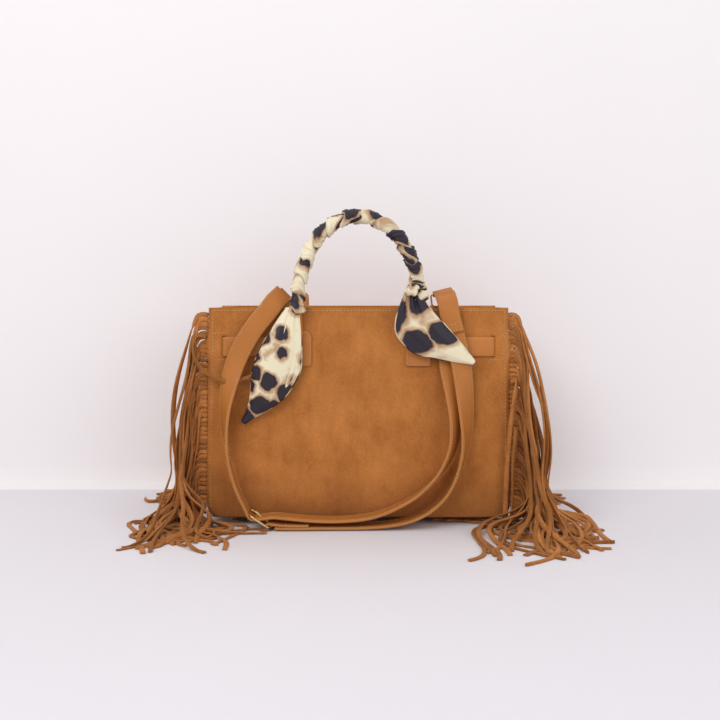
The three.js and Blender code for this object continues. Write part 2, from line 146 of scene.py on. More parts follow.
def smoothPath(stops, count, closed=False):
    # Catmull-Rom through the stops, spaced evenly along the curve
    p = arr(stops)
    n = len(p)
    if closed:
        p = np.vstack([p[-1], p, p[0], p[1]])
        spans = n
    else:
        p = np.vstack([2 * p[0] - p[1], p, 2 * p[-1] - p[-2]])
        spans = n - 1
    fine = []
    for i in range(spans):
        t = np.linspace(0, 1, 24, endpoint=False)[:, None]
        a, b, c, d = p[i], p[i + 1], p[i + 2], p[i + 3]
        square, cube = 2 * a - 5 * b + 4 * c - d, 3 * b - a - 3 * c + d
        fine.append(0.5 * (2 * b + (c - a) * t + square * t**2 + cube * t**3))
    fine = np.vstack(fine + [p[spans + 1][None]])
    step = np.r_[0, np.cumsum(np.linalg.norm(np.diff(fine[:, :3], axis=0), axis=1))]
    at = np.linspace(0, step[-1], count + 1 if closed else count)
    out = np.stack([np.interp(at, step, fine[:, k]) for k in range(fine.shape[1])], 1)
    return out[:-1] if closed else out


def unit(v):
    return v / np.maximum(np.linalg.norm(v, axis=-1, keepdims=True), 1e-12)


def tangents(p, closed=False):
    if closed:
        return unit(np.roll(p, -1, 0) - np.roll(p, 1, 0))
    return unit(np.gradient(p, axis=0))


def carryNormals(p, first, closed=False):
    t = tangents(p, closed)
    normal = unit(arr(first) - t[0] * np.dot(first, t[0]))
    out = [normal]
    for i in range(1, len(p)):
        normal = normal - t[i] * np.dot(normal, t[i])
        normal = normal / np.linalg.norm(normal)
        out.append(normal)
    return arr(out), t


# a solid swept along a path: section points are (sideways, up) pairs, one set or one per stop
def sweep(p, normals, section, closed=False):
    t = tangents(p, closed)
    side = np.cross(t, normals)
    section = arr(section)
    if section.ndim == 2:
        section = np.broadcast_to(section, (len(p),) + section.shape)
    verts = p[:, None] + side[:, None] * section[..., :1] + normals[:, None] * section[..., 1:2]
    rows, columns = verts.shape[:2]
    faces = gridFaces(rows, columns, closed, True)
    if not closed:
        faces += [tuple(range(columns))[::-1], tuple((rows - 1) * columns + k for k in range(columns))]
    return verts.reshape(-1, 3), faces


def circle(radius, sides, flat=1.0):
    turn = np.arange(sides) / sides * 2 * math.pi
    return np.stack([radius * np.cos(turn), radius * flat * np.sin(turn)], 1)


# small thread stitches laid along lines; each line is (points, normals)
stitching = {"length": 0.0031, "pitch": 0.0043, "radius": 0.00052, "lift": 0.0002}


def addStitches(name, lines, material, body="bag", size=1.0):
    ring = circle(1, 6)
    along = [(-1, 0.3), (-0.62, 1), (0.62, 1), (1, 0.3)]
    template = arr([(a, r * u, r * w) for a, r in along for u, w in ring])
    faces = gridFaces(4, 6, False, True) + [tuple(range(6))[::-1], tuple(range(18, 24))]
    verts, allFaces = [], []
    for points, normals in lines:
        points = arr(points)
        normals = np.broadcast_to(arr(normals), points.shape)
        step = np.r_[0, np.cumsum(np.linalg.norm(np.diff(points, axis=0), axis=1))]
        count = max(1, int(step[-1] / (stitching["pitch"] * size)))
        for k in range(count):
            at = (k + 0.5) * step[-1] / count
            half = stitching["length"] * size / 2
            a, m, b = [arr([np.interp(v, step, points[:, j]) for j in range(3)])
                       for v in (at - half, at, at + half)]
            n = unit(arr([np.interp(at, step, normals[:, j]) for j in range(3)]))
            t = unit(b - a)
            n = unit(n - t * np.dot(n, t))
            s = np.cross(t, n)
            r = stitching["radius"] * size
            base = m + n * stitching["lift"]
            start = len(verts) * 24
            stitch = base + t * template[:, :1] * half
            verts.append(stitch + s * template[:, 1:2] * r + n * template[:, 2:] * r)
            allFaces += [tuple(start + i for i in f) for f in faces]
    return newObject(name, np.vstack(verts), allFaces, material, body)


# shader helpers
def newGroup(name, inputs, outputs):
    group = bpy.data.node_groups.new(name, "ShaderNodeTree")
    kinds = {"c": "NodeSocketColor", "f": "NodeSocketFloat", "v": "NodeSocketVector"}
    for label, kind, value in inputs:
        socket = group.interface.new_socket(name=label, in_out="INPUT", socket_type=kinds[kind])
        if value is not None:
            socket.default_value = value
    for label, kind in outputs:
        group.interface.new_socket(name=label, in_out="OUTPUT", socket_type=kinds[kind])
    return group, group.nodes.new("NodeGroupInput").outputs, group.nodes.new("NodeGroupOutput").inputs


def put(tree, kind, inputs=None, **settings):
    node = tree.nodes.new("ShaderNode" + kind)
    for key, value in settings.items():
        setattr(node, key, value)
    for key, value in (inputs or {}).items():
        if isinstance(value, bpy.types.NodeSocket):
            tree.links.new(value, node.inputs[key])
        else:
            node.inputs[key].default_value = value
    return node


def noiseOf(tree, vector, scale, detail=2.0, rough=0.5):
    return put(tree, "TexNoise", {"Vector": vector, "Scale": scale, "Detail": detail,
                                  "Roughness": rough}).outputs["Fac"]


def maths(tree, operation, a, b=0.0, clamp=False):
    return put(tree, "Math", {0: a, 1: b}, operation=operation, use_clamp=clamp).outputs[0]


def ranged(tree, value, low, high, toLow=0.0, toHigh=1.0, smooth=False):
    inputs = {"Value": value, "From Min": low, "From Max": high, "To Min": toLow, "To Max": toHigh}
    curve = "SMOOTHSTEP" if smooth else "LINEAR"
    return put(tree, "MapRange", inputs, interpolation_type=curve).outputs["Result"]


def blendColour(tree, share, a, b, mode="MIX"):
    node = put(tree, "Mix", {0: share, 6: a, 7: b}, data_type="RGBA", blend_type=mode)
    return node.outputs[2]


def place(tree, stretch=(1, 1, 1)):
    here = put(tree, "TexCoord").outputs["Object"]
    return put(tree, "Mapping", {"Vector": here, "Scale": stretch}).outputs["Vector"]


# napped suede: cloudy brushed tone with a fine pile
def makeNapGroup():
    group, given, out = newGroup("suedeNap", [("Light", "c", (0.5, 0.2, 0.06, 1)),
                                              ("Dark", "c", (0.3, 0.1, 0.03, 1)),
                                              ("Cloud Scale", "f", 11.0), ("Pile Scale", "f", 900.0)],
                                 [("Color", "c"), ("Height", "f"), ("Roughness", "f")])
    here = place(group)
    brushed = place(group, (1, 1, 0.35))
    cloud = noiseOf(group, here, given["Cloud Scale"], 4, 0.62)
    streak = noiseOf(group, brushed, 70, 4, 0.65)
    speck = noiseOf(group, here, 380, 2, 0.6)
    pile = noiseOf(group, here, given["Pile Scale"], 3, 0.7)
    share = maths(group, "ADD", ranged(group, cloud, 0.33, 0.68, 0.18, 0.72, True),
                  ranged(group, streak, 0.3, 0.7, -0.20, 0.20))
    share = maths(group, "ADD", share, ranged(group, speck, 0.3, 0.7, -0.17, 0.17))
    share = maths(group, "ADD", share, ranged(group, pile, 0.3, 0.7, -0.07, 0.07), True)
    group.links.new(blendColour(group, share, given["Dark"], given["Light"]), out["Color"])
    height = maths(group, "ADD", maths(group, "MULTIPLY", speck, 0.8), pile)
    group.links.new(maths(group, "ADD", height, maths(group, "MULTIPLY", streak, 0.9)), out["Height"])
    group.links.new(ranged(group, cloud, 0.3, 0.7, 0.98, 0.88), out["Roughness"])
    return group


# smooth leather: pebble grain, soft mottling and a rubbed sheen
def makeGrainGroup():
    group, given, out = newGroup("leatherGrain", [("Color", "c", (0.5, 0.2, 0.06, 1)),
                                                  ("Grain Scale", "f", 1100.0),
                                                  ("Mottle", "f", 0.25)],
                                 [("Color", "c"), ("Height", "f"), ("Roughness", "f")])
    here = place(group)
    cells = put(group, "TexVoronoi", {"Vector": here, "Scale": given["Grain Scale"]},
                feature="DISTANCE_TO_EDGE").outputs["Distance"]
    mottle = noiseOf(group, here, 26, 3, 0.6)
    rubbed = noiseOf(group, here, 120, 3, 0.6)
    dark = blendColour(group, 1.0, given["Color"], (0.62, 0.56, 0.5, 1), "MULTIPLY")
    share = maths(group, "MULTIPLY", ranged(group, mottle, 0.35, 0.7), given["Mottle"])
    group.links.new(blendColour(group, share, given["Color"], dark), out["Color"])
    height = maths(group, "ADD", ranged(group, cells, 0.0, 0.12, 0.0, 0.5),
                   maths(group, "MULTIPLY", rubbed, 0.35))
    group.links.new(height, out["Height"])
    group.links.new(ranged(group, rubbed, 0.3, 0.7, 0.40, 0.58), out["Roughness"])
    return group


# a mask that is 1 at one level and fades to 0 at another, with a ragged edge
def makeRiseGroup():
    group, given, out = newGroup("levelFade", [("Full At", "f", 0.0), ("None At", "f", 0.1),
                                               ("Ragged", "f", 0.04)],
                                 [("Mask", "f")])
    here = put(group, "TexCoord").outputs["Object"]
    level = put(group, "SeparateXYZ", {0: here}).outputs["Z"]
    wobble = maths(group, "MULTIPLY", maths(group, "SUBTRACT", noiseOf(group, here, 22, 3, 0.6), 0.5),
                   given["Ragged"])
    group.links.new(ranged(group, maths(group, "ADD", level, wobble), given["Full At"], given["None At"],
                           1.0, 0.0), out["Mask"])
    return group


# spotted print: dark blotches with warm halos on a cream ground, laid out on the flat cloth
def makePrintGroup():
    group, given, out = newGroup("spottedPrint", [("Ground", "c", (0.8, 0.75, 0.55, 1)),
                                                  ("Halo", "c", (0.45, 0.22, 0.08, 1)),
                                                  ("Blotch", "c", (0.012, 0.008, 0.014, 1)),
                                                  ("Spot Scale", "f", 42.0)],
                                 [("Color", "c"), ("Height", "f")])
    cloth = put(group, "UVMap", uv_map="cloth").outputs["UV"]
    drift = put(group, "TexNoise", {"Vector": cloth, "Scale": 75.0, "Detail": 3.0}).outputs["Color"]
    moved = put(group, "VectorMath", {0: drift, 1: (0.5, 0.5, 0.5)}, operation="SUBTRACT").outputs[0]
    moved = put(group, "VectorMath", {0: moved, 3: 0.011}, operation="SCALE").outputs[0]
    moved = put(group, "VectorMath", {0: cloth, 1: moved}, operation="ADD").outputs[0]
    spots = put(group, "TexVoronoi", {"Vector": moved, "Scale": given["Spot Scale"], "Randomness": 0.85},
                voronoi_dimensions="2D")
    chance = put(group, "SeparateColor", {0: spots.outputs["Color"]}).outputs[0]
    size = ranged(group, chance, 0.0, 1.0, 0.25, 0.47)
    reach = maths(group, "SUBTRACT", size, spots.outputs["Distance"])
    blotch = ranged(group, reach, -0.015, 0.05, 0.0, 1.0, True)
    halo = ranged(group, reach, -0.20, 0.01, 0.0, 1.0, True)
    patch = ranged(group, noiseOf(group, cloth, 30, 3, 0.6), 0.53, 0.66, 0.0, 0.85, True)
    warm = maths(group, "MAXIMUM", maths(group, "MULTIPLY", halo, 0.85), maths(group, "MULTIPLY", patch, 0.9))
    colour = blendColour(group, warm, given["Ground"], given["Halo"])
    group.links.new(blendColour(group, blotch, colour, given["Blotch"]), out["Color"])
    weave = put(group, "TexWave", {"Vector": cloth, "Scale": 620.0, "Distortion": 0.6}, wave_type="BANDS",
                bands_direction="DIAGONAL")
    group.links.new(weave.outputs["Fac"], out["Height"])
    return group


napGroup = makeNapGroup()
grainGroup = makeGrainGroup()
riseGroup = makeRiseGroup()
printGroup = makePrintGroup()


def startMaterial(name, shade=None):
    material = bpy.data.materials.new(name)
    material.use_nodes = True
    tree = material.node_tree
    shader = tree.nodes["Principled BSDF"]
    for key, value in (shade or {}).items():
        shader.inputs[key].default_value = value
    return material, tree, shader


def useGroup(tree, group, inputs):
    node = tree.nodes.new("ShaderNodeGroup")
    node.node_tree = group
    for key, value in inputs.items():
        if isinstance(value, bpy.types.NodeSocket):
            tree.links.new(value, node.inputs[key])
        else:
            node.inputs[key].default_value = value
    return node.outputs


def bumpInto(tree, shader, height, strength, distance):
    bump = put(tree, "Bump", {"Height": height, "Strength": strength, "Distance": distance})
    tree.links.new(bump.outputs["Normal"], shader.inputs["Normal"])


def suedeMaterial(name, light, dark, lowShade=0.0, islands=0.0, cloud=11.0, sheen=0.35):
    shade = {"Sheen Weight": sheen, "Sheen Roughness": 0.45, "Sheen Tint": (0.95, 0.62, 0.36, 1),
             "Specular IOR Level": 0.12}
    material, tree, shader = startMaterial(name, shade)
    nap = useGroup(tree, napGroup, {"Light": light, "Dark": dark, "Cloud Scale": cloud})
    colour = nap["Color"]
    # painted shade: darkens the suede towards the bottom of the bag, fading out about 75 mm up, with a ragged
    # edge
    if lowShade:
        mask = useGroup(tree, riseGroup, {"Full At": 0.006, "None At": 0.075, "Ragged": 0.05})["Mask"]
        colour = blendColour(tree, maths(tree, "MULTIPLY", mask, lowShade), colour, (0.16, 0.06, 0.02, 1))
    if islands:
        chance = put(tree, "NewGeometry").outputs["Random Per Island"]
        shade = ranged(tree, chance, 0.0, 1.0, 1 - islands, 1.0)
        tone = put(tree, "CombineColor", {0: shade, 1: shade, 2: shade}).outputs[0]
        colour = blendColour(tree, 1.0, colour, tone, "MULTIPLY")
    tree.links.new(colour, shader.inputs["Base Color"])
    tree.links.new(nap["Roughness"], shader.inputs["Roughness"])
    bumpInto(tree, shader, nap["Height"], 0.45, 0.0006)
    return material


def leatherMaterial(name, colour, grain=1100.0, mottle=0.3, coat=0.08, depth=0.00025):
    material, tree, shader = startMaterial(name, {"Coat Weight": coat, "Coat Roughness": 0.3,
                                                  "Specular IOR Level": 0.3})
    skin = useGroup(tree, grainGroup, {"Color": colour, "Grain Scale": grain, "Mottle": mottle})
    tree.links.new(skin["Color"], shader.inputs["Base Color"])
    tree.links.new(skin["Roughness"], shader.inputs["Roughness"])
    bumpInto(tree, shader, skin["Height"], 0.3, depth)
    return material


def scarfMaterial(name):
    shade = {"Sheen Weight": 0.15, "Sheen Roughness": 0.3, "Specular IOR Level": 0.4, "Roughness": 0.5}
    material, tree, shader = startMaterial(name, shade)
    cloth = useGroup(tree, printGroup, {"Ground": (0.86, 0.78, 0.55, 1), "Halo": (0.43, 0.20, 0.075, 1),
                                        "Blotch": (0.022, 0.016, 0.026, 1)})
    tree.links.new(cloth["Color"], shader.inputs["Base Color"])
    bumpInto(tree, shader, cloth["Height"], 0.15, 0.0002)
    return material


def goldMaterial(name):
    material, tree, shader = startMaterial(name, {"Metallic": 1.0, "IOR": 1.5})
    here = place(tree)
    worn = noiseOf(tree, here, 300, 3, 0.6)
    tree.links.new(blendColour(tree, ranged(tree, worn, 0.4, 0.7), (0.88, 0.66, 0.33, 1),
                               (0.70, 0.49, 0.22, 1)), shader.inputs["Base Color"])
    tree.links.new(ranged(tree, worn, 0.3, 0.7, 0.16, 0.34), shader.inputs["Roughness"])
    return material


def wovenMaterial(name, colour, scale, height=0.0002):
    material, tree, shader = startMaterial(name, {"Roughness": 0.85, "Specular IOR Level": 0.2})
    here = place(tree)
    warp = put(tree, "TexWave", {"Vector": here, "Scale": scale, "Distortion": 0.4},
               bands_direction="X").outputs["Fac"]
    weft = put(tree, "TexWave", {"Vector": here, "Scale": scale, "Distortion": 0.4},
               bands_direction="Z").outputs["Fac"]
    cloth = maths(tree, "MULTIPLY", warp, weft)
    dark = tuple(c * 0.62 for c in colour[:3]) + (1,)
    tone = maths(tree, "ADD", cloth, ranged(tree, noiseOf(tree, here, 30, 3), 0.3, 0.7, -0.15, 0.15), True)
    tree.links.new(blendColour(tree, tone, dark, colour), shader.inputs["Base Color"])
    bumpInto(tree, shader, cloth, 0.4, height)
    return material


finishes = {
    # the body suede carries painted shade, darker towards its bottom
    "suede": suedeMaterial("suede", (0.59, 0.226, 0.058, 1), (0.37, 0.130, 0.030, 1), lowShade=0.5, cloud=15.0),
    "fringe": suedeMaterial("fringeSuede", (0.62, 0.250, 0.072, 1), (0.37, 0.132, 0.034, 1), islands=0.40,
                            cloud=26.0),
    "rawEdge": suedeMaterial("cutEdge", (0.56, 0.25, 0.085, 1), (0.40, 0.16, 0.05, 1), cloud=40.0),
    "leather": leatherMaterial("tanLeather", (0.56, 0.205, 0.044, 1), coat=0.05),
    "strap": leatherMaterial("strapLeather", (0.50, 0.178, 0.034, 1), 1300.0, 0.25, 0.05),
    "paint": leatherMaterial("edgePaint", (0.50, 0.20, 0.052, 1), 2400.0, 0.15, 0.03, 0.0001),
    "gold": goldMaterial("lightGold"),
    "scarf": scarfMaterial("spottedSatin"),
    "lining": wovenMaterial("liningWeave", (0.22, 0.13, 0.07, 1), 240.0),
    "board": wovenMaterial("fibreBoard", (0.30, 0.24, 0.17, 1), 90.0),
    "thread": wovenMaterial("thread", (0.78, 0.46, 0.19, 1), 700.0),
}
print("materials made")

# shoulder strap: two bands and the loops that carry them
strap = {"width": 0.025, "thick": 0.0028, "stitchIn": 0.0022, "shortLength": 0.472, "longLength": 0.703}
# each stop is x, y, z in millimetres and the turn of the band in degrees
shortRoute = [(106.5, -49, 284.5, 0), (109.5, -60, 272, 0), (112, -65, 255, 0), (118, -69, 230, 0),
              (125, -74, 198, 8),
              (129, -78, 165, 25), (131, -82, 132, 45), (130, -86, 102, 62), (123, -89, 73, 75),
              (110, -90, 46, 84),
              (91, -90, 26, 88), (68, -90, 13, 90), (40, -90, 6, 90), (0, -90, 3, 90), (-46, -91, 3, 90),
              (-80, -92, 3, 90), (-101, -92, 3.4, 90)]
longRoute = [(-92, -48.5, 285, 0), (-102, -59, 275, 0), (-111, -63, 263, 0), (-125, -66, 246, 0),
             (-138, -69, 226, -2),
             (-149, -72, 203, -10), (-158, -76, 173, -30), (-162, -81, 142, -55), (-161, -86, 110, -75),
             (-156, -90, 80, -86), (-147, -92, 50, -90), (-137.5, -92, 29, -90), (-130, -92, 14.8, -90),
             (-118, -92, 14.5, -90), (-103, -92, 16.5, -90), (-85, -92, 15, -90), (-58, -92, 12.5, -90),
             (-28, -91.5, 11.5, -90), (-2, -91, 13, -90), (20, -91, 17, -90), (44, -91, 26, -88),
             (73, -90, 42.5, -84),
             (99, -89, 68, -74), (114, -87, 98, -62), (118, -82, 130, -48), (116, -74, 162, -30),
             (111, -67, 196, -8), (109.5, -64.6, 216, -3)]


def bandFrames(route, count):
    p = smoothPath(arr(route) * (0.001, 0.001, 0.001, 1), count)
    middle, turn = p[:, :3], np.radians(p[:, 3:])
    along = tangents(middle)
    across = unit(np.cross(along, (0, -1, 0)))
    proud = unit(np.cross(across, along))
    wide = across * np.cos(turn) + proud * np.sin(turn)
    return middle, along, wide, unit(np.cross(along, wide))


# section of a strap: a crowned face, painted rounded edges and a flat back; addBand gives the edges the paint
# slot
def bandSection(width, thick):
    w, t = width / 2, thick / 2
    top = [(-w + 0.0009, t), (-w * 0.5, t + 0.0001), (0, t + 0.00015), (w * 0.5, t + 0.0001), (w - 0.0009, t)]
    right = [(w - 0.0002, t * 0.62), (w, 0), (w - 0.0002, -t * 0.62)]
    return top + right + [(-x, -y) for x, y in top] + [(-x, -y) for x, y in right]


def addBand(name, route, count, body="bag", width=None, thick=None, rows=None):
    middle, _, wide, face = bandFrames(route, count) if rows is None else rows
    section = arr(bandSection(width or strap["width"], thick or strap["thick"]))
    verts = middle[:, None] + wide[:, None] * section[:, :1] + face[:, None] * section[:, 1:]
    n = len(section)
    faces = gridFaces(len(middle), n, False, True)
    edge = [1 if (k % n) in (4, 5, 6, 7, 12, 13, 14, 15) else 0 for k in range(len(faces))]
    faces += [tuple(range(n))[::-1], tuple((len(middle) - 1) * n + k for k in range(n))]
    return newObject(name, verts, faces, [finishes["strap"], finishes["paint"]], body, slots=edge + [1, 1])


def bandStitches(name, rows, body="bag", inset=None, skip=(0, None), sides=(1, -1)):
    middle, _, wide, face = [a[skip[0]:skip[1]] for a in rows]
    reach = strap["width"] / 2 - (inset or strap["stitchIn"])
    lines = []
    for s in sides:
        for w in (-reach, reach):
            lines.append((middle + wide * w + face * (s * strap["thick"] / 2), face * s))
    return addStitches(name, lines, finishes["thread"], body, 0.9)


shortRows = bandFrames(shortRoute, 170)
strapShort = addBand("strap_short_band", shortRoute, 170, rows=shortRows)
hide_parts("strap_short")
shortStitches = bandStitches("strap_short_stitches", shortRows)
longRows = bandFrames(longRoute, 230)
strapLong = addBand("strap_long_band", longRoute, 230, rows=longRows)
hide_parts("strap_long")
longStitches = bandStitches("strap_long_stitches", longRows)
lengths = [float(np.linalg.norm(np.diff(r[0], axis=0), axis=1).sum()) for r in (shortRows, longRows)]
print("straps laid, lengths", [round(v, 4) for v in lengths])


# the folded end that goes round a loop's bar and is sewn down over the strap
def addFold(name, side, rows, barAt, barAcross, flapEnd):
    middle, along, wide, face = rows
    down = along[0]
    bar = arr(barAt)
    across = unit(arr(barAcross))
    t = strap["thick"]
    outward = -face[2] if face[2][1] > 0 else face[2]
    outward = outward * (1 if side == "right" else -1)
    bend = unit(np.cross(down, across))
    bend = bend if bend @ outward > 0 else -bend
    radius = 0.0014 + 0.0004 + t / 2
    path = [middle[6] - outward * (t * 0.15), middle[3] - outward * 0.0002]
    for k in range(9):
        turn = math.pi * (k / 8)
        path.append(bar - bend * radius * math.cos(turn) - down * radius * math.sin(turn))
    lift = t * 1.02
    for k in (4, 8, 12, 16, 20, flapEnd):
        path.append(middle[k] + outward * lift * (1 if k < 18 else 0.98))
    p = smoothPath(arr(path)[2:], 60)
    tangent = tangents(p)
    w = unit(np.repeat(wide[1][None], len(p), 0) - tangent * (tangent @ wide[1])[:, None])
    f = unit(np.cross(tangent, w))
    if f[-1] @ outward < 0:
        w, f = -w, -f
    flap = addBand(name, None, 0, None, rows=(p, tangent, w, f), width=strap["width"] - 0.0004)
    end = len(p) - 1
    line = p[18:end] + f[18:end] * t / 2
    other = []
    for s in (-1, 1):
        other.append((line + w[18:end] * s * (strap["width"] / 2 - strap["stitchIn"]), f[18:end]))
    for k in (end - 2, end - 7):
        cross = [p[k] + f[k] * t / 2 + w[k] * v for v in np.linspace(-0.0102, 0.0102, 8)]
        other.append((cross, f[k]))
    sewn = addStitches(name + "_stitches", other, finishes["thread"], None, 0.9)
    for piece in (flap, sewn):
        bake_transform(piece)
    return [flap, sewn]


# centre and direction of the bar in each clip loop
barLeft, acrossLeft = (-0.090128, -0.037954, 0.279896), (0.848048, -0.041115, -0.528322)
barRight, acrossRight = (0.104781, -0.037540, 0.285214), (0.990268, 0.010798, 0.138754)
rightFold = addFold("strap_right_fold", "right", shortRows, barRight, acrossRight, 15)
leftFold = addFold("strap_left_fold", "left", longRows, barLeft, acrossLeft, 13)

# metal fittings
metal = {"voxel": 0.00026, "smooth": 7}


# a smooth copy of a fitting, rounded off from its plain solid
def softCopy(node, body, name, voxel=None, passes=None, material=None):
    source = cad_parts[node]
    mesh = source.data.copy()
    mesh.transform(source.matrix_world)
    copy = bpy.data.objects.new(name, mesh)
    bpy.context.scene.collection.objects.link(copy)
    remesh = copy.modifiers.new("round", "REMESH")
    remesh.mode = "VOXEL"
    remesh.voxel_size = (voxel or metal["voxel"]) * 1
    remesh.use_smooth_shade = True
    relax = copy.modifiers.new("relax", "SMOOTH")
    relax.iterations = passes or metal["smooth"]
    relax.factor = 0.5
    bpy.context.view_layer.update()
    done = bpy.data.meshes.new_from_object(copy.evaluated_get(bpy.context.evaluated_depsgraph_get()))
    copy.modifiers.clear()
    copy.data = done
    done.materials.clear()
    done.materials.append(material or finishes["gold"])
    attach(copy, body)
    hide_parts(node)
    return copy


for side in ("left", "right"):
    softCopy("clip_hook_" + side, "bag", "clip_hook_" + side + "_metal")
    softCopy("clip_gate_" + side, "gate_" + side, "clip_gate_" + side + "_metal", passes=4)
    softCopy("clip_loop_" + side, "loop_" + side, "clip_loop_" + side + "_metal")
    softCopy("d_ring_" + side, "ring_" + side, "d_ring_" + side + "_metal")
    softCopy("d_ring_tab_" + side, "bag", "d_ring_tab_" + side + "_leather", 0.0004, 6, finishes["leather"])
buckleMetal = softCopy("buckle_frame", "bag", "buckle_frame_metal", passes=5)
prongMetal = softCopy("buckle_prong", "prong", "buckle_prong_metal", passes=4)


# the short strap's end folded round the buckle's bar
def addBuckleFold():
    bar = arr((-0.1078, -0.0925, 0.0055))
    t = strap["thick"]
    r = 0.0016 + 0.0004 + t / 2
    path = [(-0.060, -0.0915, 0.0030 + t), (-0.075, -0.092, 0.0031 + t), (-0.090, -0.0923, 0.0036 + t)]
    path = [(x, y, z + 0.0002) for x, y, z in path]
    for k in range(7):
        turn = math.radians(70 + 190 * k / 6)
        path.append((bar[0] + r * math.cos(turn), -0.0925, bar[2] + r * math.sin(turn)))
    p = smoothPath(path, 50)
    tangent = tangents(p)
    w = np.tile((0, 1.0, 0), (len(p), 1))
    f = unit(np.cross(tangent, w))
    f = f if f[0][2] > 0 else -f
    fold = addBand("strap_buckle_fold", None, 0, "bag", rows=(p, tangent, w, f),
                   width=strap["width"] - 0.0006)
    lines = [(p[:26] + f[:26] * t / 2 + w[:26] * s * (strap["width"] / 2 - strap["stitchIn"]), f[:26])
             for s in (-1, 1)]
    for k in (1, 24):
        lines.append(([p[k] + f[k] * t / 2 + w[k] * v for v in np.linspace(-0.0102, 0.0102, 8)], f[k]))
    return [fold, addStitches("strap_buckle_fold_stitches", lines, finishes["thread"], "bag", 0.9)]


buckleFold = addBuckleFold()


tuple(shortRows[0][0])
[tuple(v) for v in shortRows[0]]
tuple(longRows[0][0])
[tuple(v) for v in longRows[0]]
print("strap and fittings made")

# body
shell = {"swell": 0.0030, "wrinkle": 0.0005, "slitX": 0.1655, "slitLow": 0.197, "slitHigh": 0.223,
         "slitHalf": 0.0017}


# how far the soft front or back stands out at a place
def swell(x, up, seed=0.0):
    u = np.clip(1 - (x / bag["halfLow"]) ** 2, 0, 1)
    v = np.clip(up / bag["slope"], 0, 1)
    big = shell["swell"] * u**0.7 * np.sin(math.pi * v**0.8) ** 0.8
    wave = np.sin(31 * x + 9 * up + seed) * np.sin(23 * up - 11 * x + 1.3 + seed)
    wave = wave + 0.6 * np.sin(57 * up + 38 * x + 2 * seed)
    return big + shell["wrinkle"] * wave * np.minimum(1, u * 6) * np.minimum(1, (1 - v) * 8)


def softFront(x, up, out, seed=0.0):
    return onFront(x, up, out + swell(arr(x), arr(up), seed))


def softBack(x, up, out):
    p = softFront(x, up, out, 2.1)
    p[..., :2] *= -1
    return p


def thicken(obj, thick, rim=None, offset=1.0):
    solid = obj.modifiers.new("thickness", "SOLIDIFY")
    solid.thickness = thick
    solid.offset = offset
    solid.use_even_offset = True
    if rim is not None:
        solid.material_offset_rim = rim
    bpy.context.view_layer.update()
    obj.data = bpy.data.meshes.new_from_object(obj.evaluated_get(bpy.context.evaluated_depsgraph_get()))
    obj.modifiers.clear()
    return obj


def addPanel(name, place, slits):
    xs = np.linspace(-bag["halfLow"], bag["halfLow"], 74)
    ups = np.r_[np.linspace(0, bag["corner"], 10)[:-1], np.linspace(bag["corner"], bag["slope"], 56)]
    if slits:
        edges = [s * (shell["slitX"] + d * shell["slitHalf"]) for s in (-1, 1) for d in (-1, 1)]
        xs = np.sort(np.r_[[x for x in xs if min(abs(x - e) for e in edges) > 0.0016], edges])
        rows = [shell["slitLow"], shell["slitHigh"]]
        ups = np.sort(np.r_[[u for u in ups if min(abs(u - r) for r in rows) > 0.0012], rows])
    c = bag["corner"]
    drop = np.where(ups < c, c - np.sqrt(np.maximum(0, c * c - (c - ups) ** 2)), 0)
    half = bag["halfLow"] - (bag["halfLow"] - bag["halfHigh"]) * ups / bag["slope"] - drop
    x = xs[None, :] * (half / bag["halfLow"])[:, None]
    if slits:
        level = (ups >= shell["slitLow"] - 1e-6) & (ups <= shell["slitHigh"] + 1e-6)
        x[level] = xs[None]
    up = np.repeat(ups[:, None], len(xs), 1)
    verts = place(x, up, np.full_like(x, bag["suede"]))
    faces = []
    for f in gridFaces(*x.shape):
        mx, mu = np.mean([x.flat[i] for i in f]), np.mean([up.flat[i] for i in f])
        inSlit = abs(abs(mx) - shell["slitX"]) < shell["slitHalf"]
        if not (slits and inSlit and shell["slitLow"] < mu < shell["slitHigh"]):
            faces.append(f)
    panel = newObject(name, verts, faces, [finishes["suede"], finishes["rawEdge"]], "bag")
    thicken(panel, bag["suede"], 1, -1.0)
    return panel


frontSheet = addPanel("front_panel_suede", softFront, True)
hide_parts("front_panel")
backSheet = addPanel("back_panel_suede", softBack, False)
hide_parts("back_panel")


def seamX(up, inset):
    return bag["halfLow"] - (bag["halfLow"] - bag["halfHigh"]) * up / bag["slope"] - inset


def panelStitches(name, place, slits):
    lines = []
    top = bag["slope"] - 0.0036
    faceOut = bag["suede"]
    toward = place(0, 0.1, 1) - place(0, 0.1, 0)
    x = np.linspace(-seamX(top, 0.0049), seamX(top, 0.0049), 90)
    lines.append((place(x, np.full(90, top), faceOut), toward))
    for s in (-1, 1):
        up = np.linspace(0.012, top, 70)
        lines.append((place(s * seamX(up, 0.0049), up, faceOut), toward))
    if slits:
        for s in (-1, 1):
            x0, x1 = shell["slitX"] - 0.0052, shell["slitX"] + 0.0125
            u0, u1 = shell["slitLow"] - 0.0032, shell["slitHigh"] + 0.0032
            ring = [(x0, u1), (x1 - 0.002, u1), (x1, u1 - 0.002), (x1, u0 + 0.002), (x1 - 0.002, u0),
                    (x0, u0)]
            fine = smoothPath([(s * a, b, 0) for a, b in ring], 50)
            lines.append((place(fine[:, 0], fine[:, 1], faceOut), toward))
    sewn = addStitches(name, lines, finishes["thread"])


panelStitches("front_stitches", softFront, True)
panelStitches("back_stitches", softBack, False)


